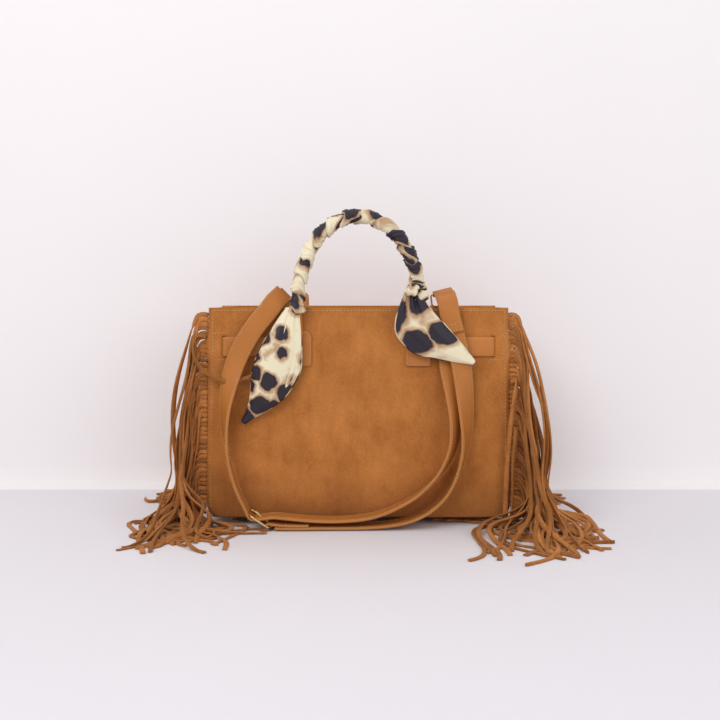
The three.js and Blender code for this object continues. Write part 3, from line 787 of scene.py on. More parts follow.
# folded side sheets
def addGusset(name, side):
    rows, columns = 44, 41
    up = np.linspace(0.004, 1, rows)[:, None] * bag["rise"]
    across = np.linspace(-1, 1, columns)[None]
    half = -bag["frontFoot"] - bag["run"] * up / bag["rise"] - bag["suede"] - 0.0003
    edge = bag["halfLow"] - 0.003 * up / bag["rise"] - 0.0024
    share = up / bag["rise"]
    soft = 1 - np.sqrt(across**2 * 0.97 + 0.03)
    rounded = 1 - np.sqrt(0.03)
    fold = bag["fold"] * share * soft / rounded + 0.0012 * np.sin(9 * across + 60 * up) * (1 - across**2)
    x = side * (edge - fold)
    y = across * half
    verts = np.stack([x, np.broadcast_to(y, x.shape), np.broadcast_to(up + bag["base"], x.shape)], -1)
    faces = gridFaces(rows, columns)
    if side < 0:
        faces = [f[::-1] for f in faces]
    sheet = newObject(name + "_suede", verts, faces, [finishes["suede"], finishes["rawEdge"]], "bag")
    thicken(sheet, bag["suede"], 1, -1.0)
    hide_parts(name)


addGusset("left_gusset", -1)
addGusset("right_gusset", 1)


# sewn-in lining: an open cloth bag a little loose on the walls
def addLining():
    rows, around = 26, 120
    verts = []
    for r in range(rows):
        z = 0.0185 + (0.206 - 0.0185) * r / (rows - 1)
        share = (z - bag["base"]) / bag["rise"]
        half = -bag["frontFoot"] - bag["run"] * share - 0.0066
        edge = bag["halfLow"] - 0.003 * share - 0.0076
        inner = edge - bag["fold"] * share
        stops = [(-edge + 0.006, -half), (0, -half), (edge - 0.006, -half), (edge, -half + 0.006),
                 (inner + 0.002, -0.008),
                 (inner, 0), (inner + 0.002, 0.008), (edge, half - 0.006), (edge - 0.006, half), (0, half),
                 (-edge + 0.006, half), (-edge, half - 0.006), (-inner - 0.002, 0.008), (-inner, 0),
                 (-inner - 0.002, -0.008), (-edge, -half + 0.006)]
        loop = stops + stops[:1]
        step = np.r_[0, np.cumsum([math.dist(loop[i], loop[i + 1]) for i in range(len(stops))])]
        at = np.linspace(0, step[-1], around, endpoint=False)
        x = np.interp(at, step, [p[0] for p in loop])
        y = np.interp(at, step, [p[1] for p in loop])
        loose = 1 - 0.012 * (0.5 + 0.5 * np.sin(at * 88 + 2.5 * np.sin(z * 41))) * math.sin(math.pi * share)
        verts.append(np.stack([x * (1 - (1 - loose) * 0.3), y * loose, np.full(around, z)], 1))
    verts = np.vstack(verts)
    faces = gridFaces(rows, around, False, True) + [tuple(range(around))[::-1]]
    cloth = newObject("lining_cloth", verts, [f[::-1] for f in faces], finishes["lining"], "bag")
    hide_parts("lining")


addLining()


# a soft plate from an outline on the front: a flat underside, rounded edges and a slightly crowned face
def addPlate(name, outline, low, thick, place, material, rim, inset=0.0007, body="bag",
             crown=0.0):
    ring = arr(outline)
    centre = ring.mean(0)
    tangent = unit(np.roll(ring, -1, 0) - np.roll(ring, 1, 0))
    inward = np.stack([-tangent[:, 1], tangent[:, 0]], 1)
    area = np.sum(ring[:, 0] * np.roll(ring[:, 1], -1) - np.roll(ring[:, 0], -1) * ring[:, 1])
    inward = inward * (1 if area > 0 else -1)
    levels = [(0, low), (0, low + thick * 0.62), (inset * 0.35, low + thick * 0.9), (inset, low + thick)]
    rows = [place(*(ring + inward * d).T, np.full(len(ring), h)) for d, h in levels]
    for share in (0.7, 0.35):
        inner = centre + (ring + inward * inset - centre) * share
        rows.append(place(*inner.T, np.full(len(ring), low + thick + crown * (1 - share))))
    tip = place(*centre, low + thick + crown)[None]
    verts = np.vstack(rows + [tip])
    n = len(ring)
    faces = gridFaces(len(rows), n, False, True)
    slots = [1] * (3 * n) + [0] * (2 * n)
    last = (len(rows) - 1) * n
    faces += [(last + k, last + (k + 1) % n, len(verts) - 1) for k in range(n)] + [tuple(range(n))[::-1]]
    obj = newObject(name, verts, faces, [material, rim], body, slots=slots + [0] * (n + 1))
    return obj


def roundCorner(x, y, radius, start, end, pieces=7):
    turn = np.linspace(start, end, pieces) * math.pi / 2
    return [(x + radius * math.cos(a), y + radius * math.sin(a)) for a in turn]


def denser(outline, step=0.002):
    ring = arr(outline + outline[:1])
    at = np.r_[0, np.cumsum(np.linalg.norm(np.diff(ring, axis=0), axis=1))]
    count = int(at[-1] / step)
    return np.stack([np.interp(np.linspace(0, at[-1], count, endpoint=False), at, ring[:, k])
                     for k in (0, 1)], 1)


# belts through the slits
def addBelt(name, side):
    low, high = 0.198, 0.222
    start, bend = 0.0888, shell["slitX"] + 0.0008
    rows = []
    stops = [(start, 0.0035), (0.12, 0.0035), (0.15, 0.0035), (bend - 0.0030, 0.0035),
             (bend - 0.0006, 0.0024),
             (bend, 0.0006), (bend + 0.0002, -0.0012), (bend + 0.003, -0.0016), (bend + 0.0095, -0.0016)]
    line = smoothPath([(x, n, 0) for x, n in stops], 60)
    heights = np.r_[low, np.linspace(low + 0.0008, high - 0.0008, 7), high]
    normal = unit(np.gradient(line[:, :2], axis=0))
    normal = np.stack([-normal[:, 1], normal[:, 0]], 1)
    for k, h in enumerate(heights):
        edge = k in (0, len(heights) - 1)
        t = 0.0007 if edge else 0.0012
        rows.append(softFront(side * (line[:, 0] + normal[:, 0] * t), np.full(60, h),
                              line[:, 1] + normal[:, 1] * t))
    for k, h in reversed(list(enumerate(heights))):
        edge = k in (0, len(heights) - 1)
        t = 0.0007 if edge else 0.0012
        rows.append(softFront(side * (line[:, 0] - normal[:, 0] * t), np.full(60, h),
                              line[:, 1] - normal[:, 1] * t))
    faces = gridFaces(len(rows), 60, True, False)
    n = len(rows)
    faces += [tuple(r * 60 for r in range(n)), tuple(r * 60 + 59 for r in reversed(range(n)))]
    if side > 0:
        faces = [f[::-1] for f in faces]
    obj = newObject(name + "_leather", np.vstack(rows), faces, finishes["leather"], "bag")
    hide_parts(name)


addBelt("belt_left", -1)
addBelt("belt_right", 1)

# handles
handle = {"radius": 0.0055, "x": 0.073, "tabWidth": 0.031, "tabLow": 0.186, "tabHigh": 0.234,
          "tabThick": 0.0028}


def tabOutline(x):
    half, r = handle["tabWidth"] / 2, 0.003
    shoulder = half - handle["radius"]
    low, top = handle["tabLow"], handle["tabHigh"]
    ring = roundCorner(x + half - r, low + r, r, -1, 0)
    ring += roundCorner(x + handle["radius"], top - 0.014, shoulder, 0, 1)
    ring += [(x + handle["radius"] - 0.001, top + 0.004), (x - handle["radius"] + 0.001, top + 0.004)]
    ring += roundCorner(x - handle["radius"], top - 0.014, shoulder, 1, 2)
    return ring + roundCorner(x - half + r, low + r, r, 2, 3)


def addTabs(name, place):
    made = []
    for k, x in enumerate((-handle["x"], handle["x"])):
        ring = denser(tabOutline(x), 0.0012)
        low = bag["suede"] + 0.0003
        plate = addPlate(f"{name}_tab_{k}", ring, low, handle["tabThick"], place, finishes["leather"],
                         finishes["paint"], crown=0.0012)
        centre = arr((x, 0.209))
        inner = arr([p for p in centre + (ring - centre) * (0.86, 0.9) if p[1] < 0.229])
        first = int(np.argmax(np.linalg.norm(np.roll(inner, 1, 0) - inner, axis=1)))
        inner = np.roll(inner, -first, 0)
        toward = place(0, 0.1, 1) - place(0, 0.1, 0)
        line = place(*inner.T, low + handle["tabThick"] + 0.0002)
        sewn = addStitches(f"{name}_tab_{k}_stitches", [(line, toward)], finishes["thread"], size=0.85)
        made += [plate, sewn]
    return made


neck = [(73, 212, 7.9), (73, 226, 8.3), (74, 240, 10)]
arch = []
for i in range(13):
    turn = math.pi * i / 12
    rise = math.sin(turn) ** 0.92 if 0 < i < 12 else 0
    arch.append((74.5 * math.cos(turn), 254 + 114 * rise, 13.5 + 2.5 * rise))
drop = [(74, 254, 12.5), (74, 266, 18), (74, 267, 27), (74, 254, 32), (72, 228, 31), (64, 196, 25),
        (44, 168, 19), (20, 155, 16)]


def mirrorStops(stops):
    return [(-x, s, n) for x, s, n in stops[::-1]]


frontStops = neck + arch + mirrorStops(neck)
backStops = neck + drop + [(0, 150, 15)] + mirrorStops(drop) + mirrorStops(neck)


def addHandle(name, stops, place, bodyNode):
    p = smoothPath([place(*(arr(s) * 0.001)) for s in stops], 260)
    normals, _ = carryNormals(p, (0, 1, 0.01))
    turn = np.arange(24) / 24 * 2 * math.pi
    seam = np.exp(-((np.abs(turn - math.pi * 1.5) / 0.13) ** 2)) * 0.0005
    radius = handle["radius"] - seam
    section = np.stack([radius * np.cos(turn), radius * np.sin(turn)], 1)
    verts, faces = sweep(p, normals, section)
    tube = newObject(name + "_leather", verts, faces, finishes["leather"], "bag")
    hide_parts(bodyNode)
    addTabs(name, place)
    return p


frontHandlePath = addHandle("front_handle", frontStops, softFront, "front_handle")
addHandle("back_handle", backStops, softBack, "back_handle")
print("body and handles made")

# scarf wound round the front handle
# flat is set to suit the area modelled; the winding and tails would take about 1.3 m of cloth
scarf = {"pitch": 0.0225, "inner": 0.0066, "outer": 0.0099, "thick": 0.0005, "flat": (0.050, 1.00)}


def addWrap():
    p = smoothPath([softFront(*(arr(s) * 0.001)) for s in [neck[-1]] + arch + [mirrorStops(neck)[0]]], 560)
    step = np.r_[0, np.cumsum(np.linalg.norm(np.diff(p, axis=0), axis=1))]
    keep = (step > 0.012) & (step < step[-1] - 0.011)
    p, step = p[keep], step[keep]
    normals, t = carryNormals(p, (0, -1, 0.01))
    side = np.cross(t, normals)
    columns = 60
    turn = np.arange(columns) / columns * 2 * math.pi
    s, a = np.meshgrid(step, turn, indexing="ij")
    q = s / scarf["pitch"] - a / (2 * math.pi) + 0.10 * np.sin(2 * a + 61 * s)
    q = q + 0.06 * np.sin(3 * a - 143 * s)
    whole = np.floor(q)
    f = q - whole
    lift = np.where(f < 0.9, (f / 0.9) ** 0.75, 1 - ((f - 0.9) / 0.1) ** 2)
    pleat = 0.00045 * np.sin(f * 19 + 5 * np.sin(whole * 2.1) + 2 * a) * np.sin(math.pi * np.clip(f, 0, 1))
    pleat = pleat + 0.0003 * np.sin(f * 37 + a * 3 + whole * 4.0)
    r = scarf["inner"] + (scarf["outer"] - scarf["inner"]) * lift + pleat + 0.0005 * np.sin(whole * 3.7 + a)
    r = r + 0.0008 * np.exp(-(((step[-1] - s) / 0.012) ** 2))
    ends = np.sqrt(np.clip(np.minimum(s - step[0], step[-1] - s) / 0.0022, 0.0, 1.0))
    r = scarf["inner"] - 0.0004 + (r - scarf["inner"] + 0.0004) * ends
    verts = p[:, None] + side[:, None] * (r * np.cos(a))[..., None]
    verts = verts + normals[:, None] * (r * np.sin(a))[..., None]
    uv = np.stack([(whole + a / (2 * math.pi)) * 0.052 + 0.3,
                   f * scarf["pitch"] + 0.02 * np.sin(whole * 1.7)], -1)
    faces = gridFaces(len(p), columns, False, True)
    return newObject("scarf_wrap", verts, faces, finishes["scarf"], "bag", uv=uv * 0.72)


scarfWrap = addWrap()


# a gathered turn of the scarf: a pleated band going once round
def addTurn(name, centre, axis, lean, size, width, thick, seed, spread=1.0):
    rng = np.random.default_rng(int(seed))
    axis = unit(arr(axis))
    first = unit(np.cross(axis, (0, 1, 0)))
    second = np.cross(axis, first)
    rows, columns = 96, 30
    turn = np.arange(rows) / rows * 2 * math.pi
    radius = size * (1 + 0.08 * np.sin(2 * turn + seed) + 0.04 * np.sin(5 * turn + 2 * seed))
    line = arr(centre) + first * (radius * np.cos(turn))[:, None]
    line = line + second * (radius * np.sin(turn) * spread)[:, None]
    line = line + axis * (lean * np.cos(turn + seed * 0.7) + 0.0005 * np.sin(3 * turn + seed))[:, None]
    out = unit(line - arr(centre) - axis * ((line - arr(centre)) @ axis)[:, None])
    t = tangents(line, True)
    flat = unit(np.cross(t, out))
    phi = np.arange(columns) / columns * 2 * math.pi
    w = width / 2 * (1 + 0.12 * np.sin(3 * turn + seed))[:, None] * np.cos(phi)[None]
    waves = sum(0.16 / k * np.sin((3 + 2 * k) * phi[None] + k * 1.3 * np.sin(turn + k)[:, None]
                                  + rng.uniform(0, 6)) for k in (1, 2, 3))
    h = thick / 2 * np.sin(phi)[None] * (1 + waves * 1.1)
    verts = line[:, None] + flat[:, None] * w[..., None] + out[:, None] * h[..., None]
    uv = np.stack(np.broadcast_arrays((turn * size)[:, None] + seed * 0.37, w * 2 + seed * 0.11), -1)
    return newObject(name, verts, gridFaces(rows, columns, True, True), finishes["scarf"], "bag", uv=uv)


def edgeLine(points, rows):
    return smoothPath([(x, z, 0) for x, z in points], rows)[:, :2] * 0.001


# a hanging tail: cloth between two edge lines, gathered at the knot and opening out below
def addTail(name, first, second, outs, seed, gather=0.0022, shift=0.0, grow=0.0, printSize=1.0):
    rows, columns = 90, 56
    a, b = edgeLine(first, rows), edgeLine(second, rows)
    c = np.linspace(0, 1, columns)[None]
    t = np.linspace(0, 1, rows)[:, None]
    middle = (a + b) / 2
    a, b = middle + (a - middle) * (1 + grow), middle + (b - middle) * (1 + grow)
    xz = a[:, None] * (1 - c[..., None]) + b[:, None] * c[..., None]
    fade = (1 - t) ** 1.6
    folds = gather * fade * (np.sin(c * 15 + seed + 2.2 * t) + 0.5 * np.sin(c * 31 + 2 * seed + 3 * t))
    broad = 0.0014 * np.sin(c * 5.2 + seed + 4 * t) * np.sin(math.pi * np.clip(t * 1.1, 0, 1))
    roll = 0.0030 * (np.abs(2 * c - 1) ** 3) * (0.4 + 0.6 * t) * -1
    bow = 0.0035 * np.sin(math.pi * c) * np.sin(math.pi * np.clip(t + 0.05, 0, 1))
    out = np.interp(t, np.linspace(0, 1, len(outs)), np.array(outs) * 0.001)
    out = out + folds + broad + roll + bow + shift
    up = (xz[..., 1] - bag["base"]) / math.cos(bag["lean"]) - out * math.tan(bag["lean"])
    verts = onFront(xz[..., 0], up, out)
    along = np.r_[0, np.cumsum(np.linalg.norm(np.diff(middle, axis=0), axis=1))]
    width = np.linalg.norm(b - a, axis=1)[:, None] * (c - 0.5)
    uv = np.stack(np.broadcast_arrays(along[:, None] / printSize + seed * 0.31,
                                      width / printSize + seed * 0.17), -1)
    obj = newObject(name, verts, gridFaces(rows, columns), finishes["scarf"], None, uv=uv)
    thicken(obj, scarf["thick"], None, 0.0)
    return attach(obj, "bag")


leftInner = [(-71, 268), (-71, 255), (-69.5, 235), (-69.3, 211), (-71, 192.6), (-79.7, 174), (-92, 157),
             (-107.7, 145),
             (-126, 134), (-140.5, 124.5)]
leftOuter = [(-88, 268), (-96, 256), (-104, 243), (-113.5, 228), (-123.5, 208), (-129.6, 186.5), (-132, 162),
             (-137, 142.7),
             (-143, 131)]
rightLow = [(57, 289), (52.5, 276), (46, 256), (45.6, 238.8), (54, 225.4), (70, 212), (93, 207), (116, 202),
            (138.7, 198.7)]
rightHigh = [(68, 290), (75, 281), (84, 270), (92, 261), (102.8, 248.6), (116, 234), (130.8, 217),
             (141.7, 203.5)]
tails = [
    addTail("scarf_tail_left", leftInner, leftOuter, (18, 20.5, 20, 18, 13), 2.0, gather=0.0006,
            printSize=1.1),
    addTail("scarf_tail_left_under", leftInner, leftOuter, (16, 18, 18, 15, 10.5), 4.3, shift=-0.0012,
            grow=0.05),
    addTail("scarf_tail_right", rightLow, rightHigh, (24, 24, 22.5, 22, 21), 1.0, printSize=1.9),
    addTail("scarf_tail_right_under", rightLow, rightHigh, (20, 20.5, 20, 20, 18.5), 5.2, shift=-0.001,
            grow=0.05),
]


def handleAt(height, side):
    best = [p for p in frontHandlePath if p[0] * side > 0]
    return min(best, key=lambda p: abs(p[2] - height))


turns = [
    addTurn("scarf_turn_right_low", handleAt(0.283, 1), (-0.1, -0.05, 1), 0.0022, 0.0094, 0.014, 0.0034, 3.0),
    addTurn("scarf_turn_right_high", handleAt(0.294, 1), (-0.15, -0.05, 1), -0.0022, 0.0096, 0.012, 0.0030,
            4.0),
    addTurn("scarf_knot_right", arr((0.0640, -0.0800, 0.2895)), (0.95, 0.1, -0.35), 0.001, 0.0046, 0.0125,
            0.0056, 8.0, 1.15),
]
with bpy.context.temp_override(active_object=scarfWrap,
                               selected_editable_objects=[scarfWrap] + tails + turns):
    bpy.ops.object.join()
scarfWrap.name = "scarf_cloth"
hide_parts("scarf")
print("scarf made")

def addTurned(name, profile, centre, axis, sides, material, node):
    z = unit(arr(axis))
    x = unit(np.cross(z, (0.3, 1, 0.2)))
    y = np.cross(z, x)
    turn = np.arange(sides) / sides * 2 * math.pi
    verts = [arr(centre) + z * h + x * r * math.cos(a) + y * r * math.sin(a)
             for r, h in profile for a in turn]
    faces = gridFaces(len(profile), sides, False, True)
    faces += [tuple(range(sides))[::-1], tuple(range(len(verts) - sides, len(verts)))]
    obj = newObject(name, verts, faces, material, "bag")
    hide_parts(node)


footProfile = [(0.0035, 0), (0.0048, 0.0005), (0.0060, 0.0016), (0.0068, 0.0032), (0.0070, 0.0048),
               (0.0066, 0.0064),
               (0.0063, 0.0068), (0.0063, 0.0097), (0.0016, 0.0097), (0.0016, 0.0163)]
for corner in ("front_left", "front_right", "back_left", "back_right"):
    low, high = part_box("foot_" + corner)
    middle = ((low.x + high.x) / 2, (low.y + high.y) / 2, 0)
    addTurned(f"foot_{corner}_metal", footProfile, middle, (0, 0, 1), 40, finishes["gold"], "foot_" + corner)

# fringe: thongs cut from one strip and sewn into each side seam
fringe = {"count": 44, "long": 0.290, "wide": 0.0055, "thick": 0.0018, "points": 48, "spacing": 0.0040,
          "seed": 11, "rounds": 18, "strip": (0.258, 0.300)}


def seamPoint(side, end, z):
    share = (z - bag["base"]) / bag["rise"]
    x = side * (bag["halfLow"] - 0.003 * share + 0.0004)
    return arr((x, end * (-bag["frontFoot"] - bag["run"] * share - 0.0012), z))


# first guess of one thong: out of the seam, down beside the bag, then away over the floor
def thongLine(side, end, share, rng, look):
    n = fringe["points"]
    root = seamPoint(side, end, 0.014 + 0.247 * share)
    z0 = root[2]
    long = fringe["long"] - 0.055 * (1 - share) + rng.uniform(-0.008, 0.008)
    stand = 0.010 + 0.010 * rng.random() + 0.010 * (1 - share) * rng.random()
    slope = look["bow"] * (0.15 + 0.95 * rng.random() ** 0.8)
    drift = look["forward"] * rng.normal(0.0, 1.0) + look["lead"]
    wave = rng.uniform(0, 6.28, 4)
    angle = look["aim"] + look["fan"] * (rng.random() - 0.5) * 2 - look["spill"] * (slope / look["bow"]) ** 3
    stops = [root, root + (side * stand * 0.40, 0, 0.0010),
             root + (side * stand * 0.75, end * 0.0006, -stand * 0.10)]
    stops.append(root + (side * stand * 0.96, end * 0.0010, -stand * 0.42))
    z = z0 - stand * 0.85
    heap = look["heap"] * (0.10 + 0.90 * share) * rng.uniform(0.35, 1.0)
    while z > 0.012 + heap:
        down = z0 - z
        x = stand + slope * down * (1 - 0.35 * (down / 0.25))
        x = x + 0.0040 * math.sin(down * 30 + wave[0]) * min(1, down * 20)
        y = end * (drift * down + 0.0045 * math.sin(down * 24 + wave[1]) * min(1, down * 12))
        pinch = look["pinch"] * math.exp(-(((z - 0.050) / 0.040) ** 2)) * min(1, down * 9)
        x = x + (look["pinchX"] - x) * pinch
        stops.append(arr((root[0] + side * x, root[1] + y, z)))
        z -= 0.010
    used = sum(math.dist(stops[i], stops[i + 1]) for i in range(len(stops) - 1))
    rest = max(0.020, long - used)
    spread = 1 - look["tame"] * (slope / look["bow"]) ** 2
    reach = min(rest * 0.96, look["reach"] * rng.uniform(0.5, 1.0) * spread)
    waves = rng.uniform(0.55, 1.15)
    swing = reach / (math.pi * waves) * math.sqrt(max(0.015, rest / reach - 1)) * rng.choice((-1, 1))
    foot = stops[-1]
    ahead = arr((side * math.cos(angle), end * math.sin(angle), 0))
    aside = arr((-ahead[1], ahead[0], 0))
    for k in range(1, 19):
        s = k / 18
        bend = math.sin(2 * math.pi * waves * s + wave[3]) - math.sin(wave[3]) * (1 - s)
        bend = swing * bend * min(1, 4 * s)
        low = 0.0018 + heap * (1 - s) ** 1.25 * 0.95
        height = low + max(0, foot[2] - low) * max(0, 1 - 3.5 * s) ** 2
        here = foot + ahead * (reach * s) + aside * bend
        stops.append(arr((here[0], here[1], height)))
    line = smoothPath(stops, n)
    return line, float(np.linalg.norm(np.diff(line, axis=0), axis=1).mean())


# settle the thongs: keep their length, push them apart, keep them off the floor and the bag
def settle(lines, steps, rounds, pinned):
    p = np.stack(lines)
    count, n = p.shape[:2]
    gapWanted = fringe["spacing"]
    owner = np.repeat(np.arange(count), n)
    start = p.copy()
    stepLength = np.array(steps)[:, None]
    for r in range(rounds):
        p[:, 5:, 2] -= 0.0002
        for k in range(5):
            for first in (0, 1):
                a, b = p[:, first:-1:2], p[:, first + 1::2]
                m = min(a.shape[1], b.shape[1])
                a, b = a[:, :m], b[:, :m]
                d = b - a
                length = np.maximum(np.linalg.norm(d, axis=-1, keepdims=True), 1e-9)
                move = d * (0.5 * (length - stepLength[..., None]) / length)
                a += move
                b -= move
            p[:, 1:-1] += ((p[:, :-2] + p[:, 2:]) / 2 - p[:, 1:-1]) * 0.05
            p[:, :3] = start[:, :3]
            for i, held in pinned.items():
                p[i, held] = start[i, held]
        flat = p.reshape(-1, 3)
        push = np.zeros_like(flat)
        for first in range(0, len(flat), 512):
            these = slice(first, first + 512)
            d = flat[these][:, None] - flat[None]
            dist = np.sqrt((d**2).sum(-1))
            close = (dist < gapWanted) & (owner[these][:, None] != owner[None]) & (dist > 1e-9)
            w = np.where(close, (gapWanted - dist) / np.maximum(dist, 1e-6) * 0.22, 0)
            push[these] = (d * w[..., None]).sum(1)
        size = np.linalg.norm(push, axis=1, keepdims=True)
        push *= np.minimum(1, 0.0016 / np.maximum(size, 1e-9))
        p = (flat + push).reshape(count, n, 3)
        hang = (start[:, :, 2:3] > 0.03) * 0.06
        p = p + (start - p) * hang
        p[..., 2] = np.maximum(p[..., 2], 0.0014)
        share = np.clip((p[..., 2] - bag["base"]) / bag["rise"], 0, 1)
        wall = bag["halfLow"] - 0.003 * share + 0.0026
        deep = -bag["frontFoot"] - bag["run"] * share
        inside = (np.abs(p[..., 0]) < wall) & (np.abs(p[..., 1]) < deep) & (p[..., 2] > 0.012)
        p[..., 0] = np.where(inside, np.sign(p[..., 0]) * wall, p[..., 0])
        p[:, :3] = start[:, :3]
        for i, held in pinned.items():
            p[i, held] = start[i, held]
    return p


ribbonSection = [(-1, -0.55), (-0.93, -1), (0.93, -1), (1, -0.55), (1, 0.55), (0.93, 1), (-0.93, 1),
                 (-1, 0.55)]


def addRibbons(name, lines, node, end, rng):
    verts, faces, start = [], [], 0
    fine = 74
    for line in lines:
        p = smoothPath(line, fine)
        t = tangents(p)
        wide = unit(arr((0, -end * 0.08, 1)) - t[0] * t[0][2])
        twist = rng.choice((-1, 1)) * rng.uniform(0.9, 1.9)
        slow = rng.uniform(-1.6, 1.6)
        phase = rng.uniform(0, 6.28)
        rows = []
        w0 = fringe["wide"] / 2 * rng.uniform(0.86, 1.12)
        h0 = fringe["thick"] / 2 * rng.uniform(0.9, 1.15)
        for i in range(fine):
            wide = unit(wide - t[i] * np.dot(wide, t[i]))
            s = i / (fine - 1)
            a = twist * min(1, s / 0.10) ** 1.5 + slow * s + 0.35 * math.sin(7 * s + phase)
            across = wide * math.cos(a) + np.cross(t[i], wide) * math.sin(a)
            if p[i][2] < 0.012:
                level = across * (1, 1, 0.25)
                across = unit(level - t[i] * np.dot(level, t[i])) if np.linalg.norm(level) > 0.35 else across
            face = np.cross(t[i], across)
            w = w0 * (1 + 0.05 * math.sin(23 * s + phase))
            rows.append([p[i] + across * (w * u) + face * (h0 * v) for u, v in ribbonSection])
        k = len(ribbonSection)
        verts += rows
        faces += gridFaces(fine, k, False, True, start)
        faces += [tuple(range(start, start + k))[::-1],
                  tuple(range(start + (fine - 1) * k, start + fine * k))]
        start += fine * k
    verts = np.vstack([np.vstack(v) for v in verts])
    verts[:, 2] = np.maximum(verts[:, 2], 0.0003)
    obj = newObject(name, verts, faces, finishes["fringe"], "bag")
    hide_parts(node)
    return obj


looks = {
    (-1, -1): {"bow": 0.20, "forward": 0.05, "lead": 0.18, "aim": 1.75, "fan": 0.80, "reach": 0.122,
               "heap": 0.062,
               "pinch": 0.62, "pinchX": 0.028, "spill": 0.4, "tame": 0.35},
    (1, -1): {"bow": 0.32, "forward": 0.06, "lead": 0.24, "aim": 1.80, "fan": 0.50, "reach": 0.190,
              "heap": 0.075,
              "pinch": 0.55, "pinchX": 0.024, "spill": 1.0, "tame": 0.50},
    (-1, 1): {"bow": 0.18, "forward": 0.05, "lead": -0.05, "aim": 0.55, "fan": 0.95, "reach": 0.085,
              "heap": 0.045,
              "pinch": 0.4, "pinchX": 0.034, "spill": 0.3, "tame": 0.3},
    (1, 1): {"bow": 0.30, "forward": 0.05, "lead": -0.05, "aim": 0.75, "fan": 0.95, "reach": 0.070,
             "heap": 0.045,
             "pinch": 0.3, "pinchX": 0.040, "spill": 0.5, "tame": 0.45},
}
strays = {
    (-1, -1): [[(-187, -59, 232), (-197, -60.5, 233), (-203, -63, 222), (-199, -69, 204), (-187, -71, 189),
                (-170, -73.5, 180),
                (-152, -74, 178), (-138, -73, 182), (-118, -72.5, 186), (-100, -72, 186)]],
    (1, -1): [[(187, -67.5, 118), (191, -73, 122), (191, -79, 112), (188.5, -81.5, 80), (188, -83, 45),
               (187, -84, 20),
               (184, -86, 6), (170, -96, 2.4)],
              [(187, -63, 176), (192, -68, 179), (191.5, -73.5, 168), (186, -75.5, 130), (182, -79, 90),
               (180, -81.5, 50),
               (179, -84, 20), (178, -85, 8)]],
}
# thongs that lie under the front edge of the base
tucked = [[(189, -74, 20), (196, -76, 12), (190, -70, 4), (172, -58, 2.4), (150, -50, 2.2), (128, -58, 2.2),
           (104, -56, 2.2)],
          [(189, -73, 26), (197, -80, 14), (188, -66, 5), (164, -62, 2.6), (142, -66, 2.6), (118, -50, 2.4),
           (92, -58, 2.4)],
          [(189, -72, 32), (199, -74, 18), (186, -60, 6), (170, -68, 4.6), (150, -60, 4.4), (134, -46, 2.4),
           (110, -66, 4.0)]]
strays[(1, -1)] += tucked
for (side, end), look in looks.items():
    rng = np.random.default_rng(fringe["seed"] + 7 * side + 3 * end)
    lines, steps = [], []
    for i in range(fringe["count"]):
        share = (i + 0.5) / fringe["count"]
        line, step = thongLine(side, end, share, rng, look)
        lines.append(line)
        steps.append(step)
    pinned = {}
    extra = [smoothPath(arr(s) * 0.001, fringe["points"]) for s in strays.get((side, end), [])]
    for line in extra:
        pinned[len(lines)] = slice(0, fringe["points"])
        lines.append(line)
        steps.append(float(np.linalg.norm(np.diff(line, axis=0), axis=1).mean()))
    settled = settle(lines, steps, fringe["rounds"], pinned)
    name = "fringe_" + ("front" if end < 0 else "back") + ("_left" if side < 0 else "_right")
    addRibbons(name + "_thongs", settled, name, end, rng)
print("fringe made")

# remaining plain pieces
for node in ("front_facing", "back_facing"):
    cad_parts[node].data.materials.clear()
    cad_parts[node].data.materials.append(finishes["leather"])
for node, finish in (("base_panel", "suede"), ("base_board", "board"), ("snap_socket", "gold"),
                     ("snap_stud", "gold")):
    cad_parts[node].data.materials.clear()
    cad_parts[node].data.materials.append(finishes[finish])

# stage: pale floor, soft wall, softbox light
studio = {"wallAt": 0.15, "bend": 0.05, "key": 17.5, "fill": 8.0, "top": 6.0, "world": 0.44, "wash": 0.09}


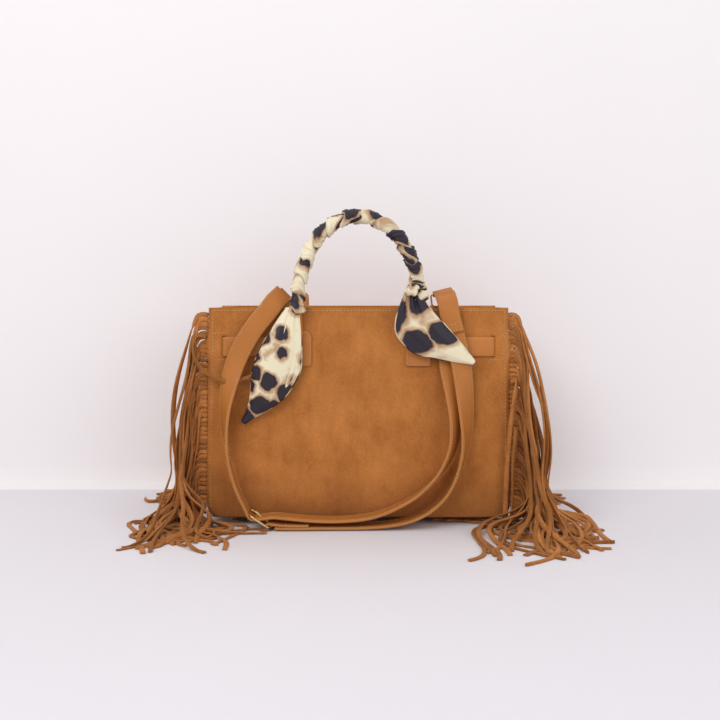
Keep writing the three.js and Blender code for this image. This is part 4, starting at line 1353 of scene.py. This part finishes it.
def stageMaterial(name, colour, oneSided):
    material, tree, shader = startMaterial(name, {"Roughness": 0.9, "Specular IOR Level": 0.1})
    here = put(tree, "TexCoord").outputs["Object"]
    cloud = ranged(tree, noiseOf(tree, here, 3.0, 2), 0.3, 0.7)
    tree.links.new(blendColour(tree, cloud, colour, tuple(c * 0.985 for c in colour[:3]) + (1,)),
                   shader.inputs["Base Color"])
    if oneSided:
        shader.inputs["Emission Color"].default_value = (1.0, 0.965, 0.975, 1)
        shader.inputs["Emission Strength"].default_value = studio["wash"]
        clear = put(tree, "BsdfTransparent")
        mix = put(tree, "MixShader", {0: put(tree, "NewGeometry").outputs["Backfacing"],
                                      1: shader.outputs[0], 2: clear.outputs[0]})
        tree.links.new(mix.outputs[0], tree.nodes["Material Output"].inputs["Surface"])
    return material


def addStage():
    floorMat = stageMaterial("paleFloor", (0.80, 0.785, 0.82, 1), False)
    wallMat = stageMaterial("paleWall", (0.855, 0.825, 0.832, 1), True)
    floor = newObject("floor", [(-4, -4, 0), (4, -4, 0), (4, 4, 0), (-4, 4, 0)], [(0, 1, 2, 3)], floorMat,
                      None, False)
    rows = [(studio["wallAt"] - 0.03, 0.0002), (studio["wallAt"] - 0.012, 0.002),
            (studio["wallAt"] - 0.003, 0.010), (studio["wallAt"], 0.03),
            (studio["wallAt"], 3.0)]
    verts = [(x, y, z) for y, z in rows for x in (-4, 4)]
    wall = newObject("wall", verts, [f[::-1] for f in gridFaces(len(rows), 2)], wallMat, None, True)
    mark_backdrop(floor, wall)
    for polygon in wall.data.polygons[:1]:
        if polygon.normal.y > 0:
            wall.data.flip_normals()


def addLight(name, place, target, size, power, colour):
    data = bpy.data.lights.new(name, "AREA")
    data.shape = "RECTANGLE"
    data.size, data.size_y = size
    data.energy = power
    data.color = colour
    lamp = bpy.data.objects.new(name, data)
    bpy.context.scene.collection.objects.link(lamp)
    lamp.location = place
    lamp.rotation_euler = (Vector(target) - Vector(place)).to_track_quat("-Z", "Y").to_euler()


addStage()
bpy.context.scene.view_settings.view_transform = "Standard"
addLight("key", (-0.9, -1.5, 1.5), (0, 0, 0.15), (1.2, 1.2), studio["key"], (1.0, 0.985, 0.97))
addLight("fill", (1.3, -1.4, 0.9), (0, 0, 0.12), (1.4, 1.2), studio["fill"], (0.98, 0.985, 1.0))
addLight("top", (0.0, -0.3, 1.9), (0, 0.0, 0.1), (1.8, 1.4), studio["top"], (1.0, 0.99, 0.985))
world = bpy.data.worlds.new("studio")
bpy.context.scene.world = world
world.use_nodes = True
world.node_tree.nodes["Background"].inputs["Color"].default_value = (0.95, 0.93, 0.95, 1)
world.node_tree.nodes["Background"].inputs["Strength"].default_value = studio["world"]
print("stage set")

low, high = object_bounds()
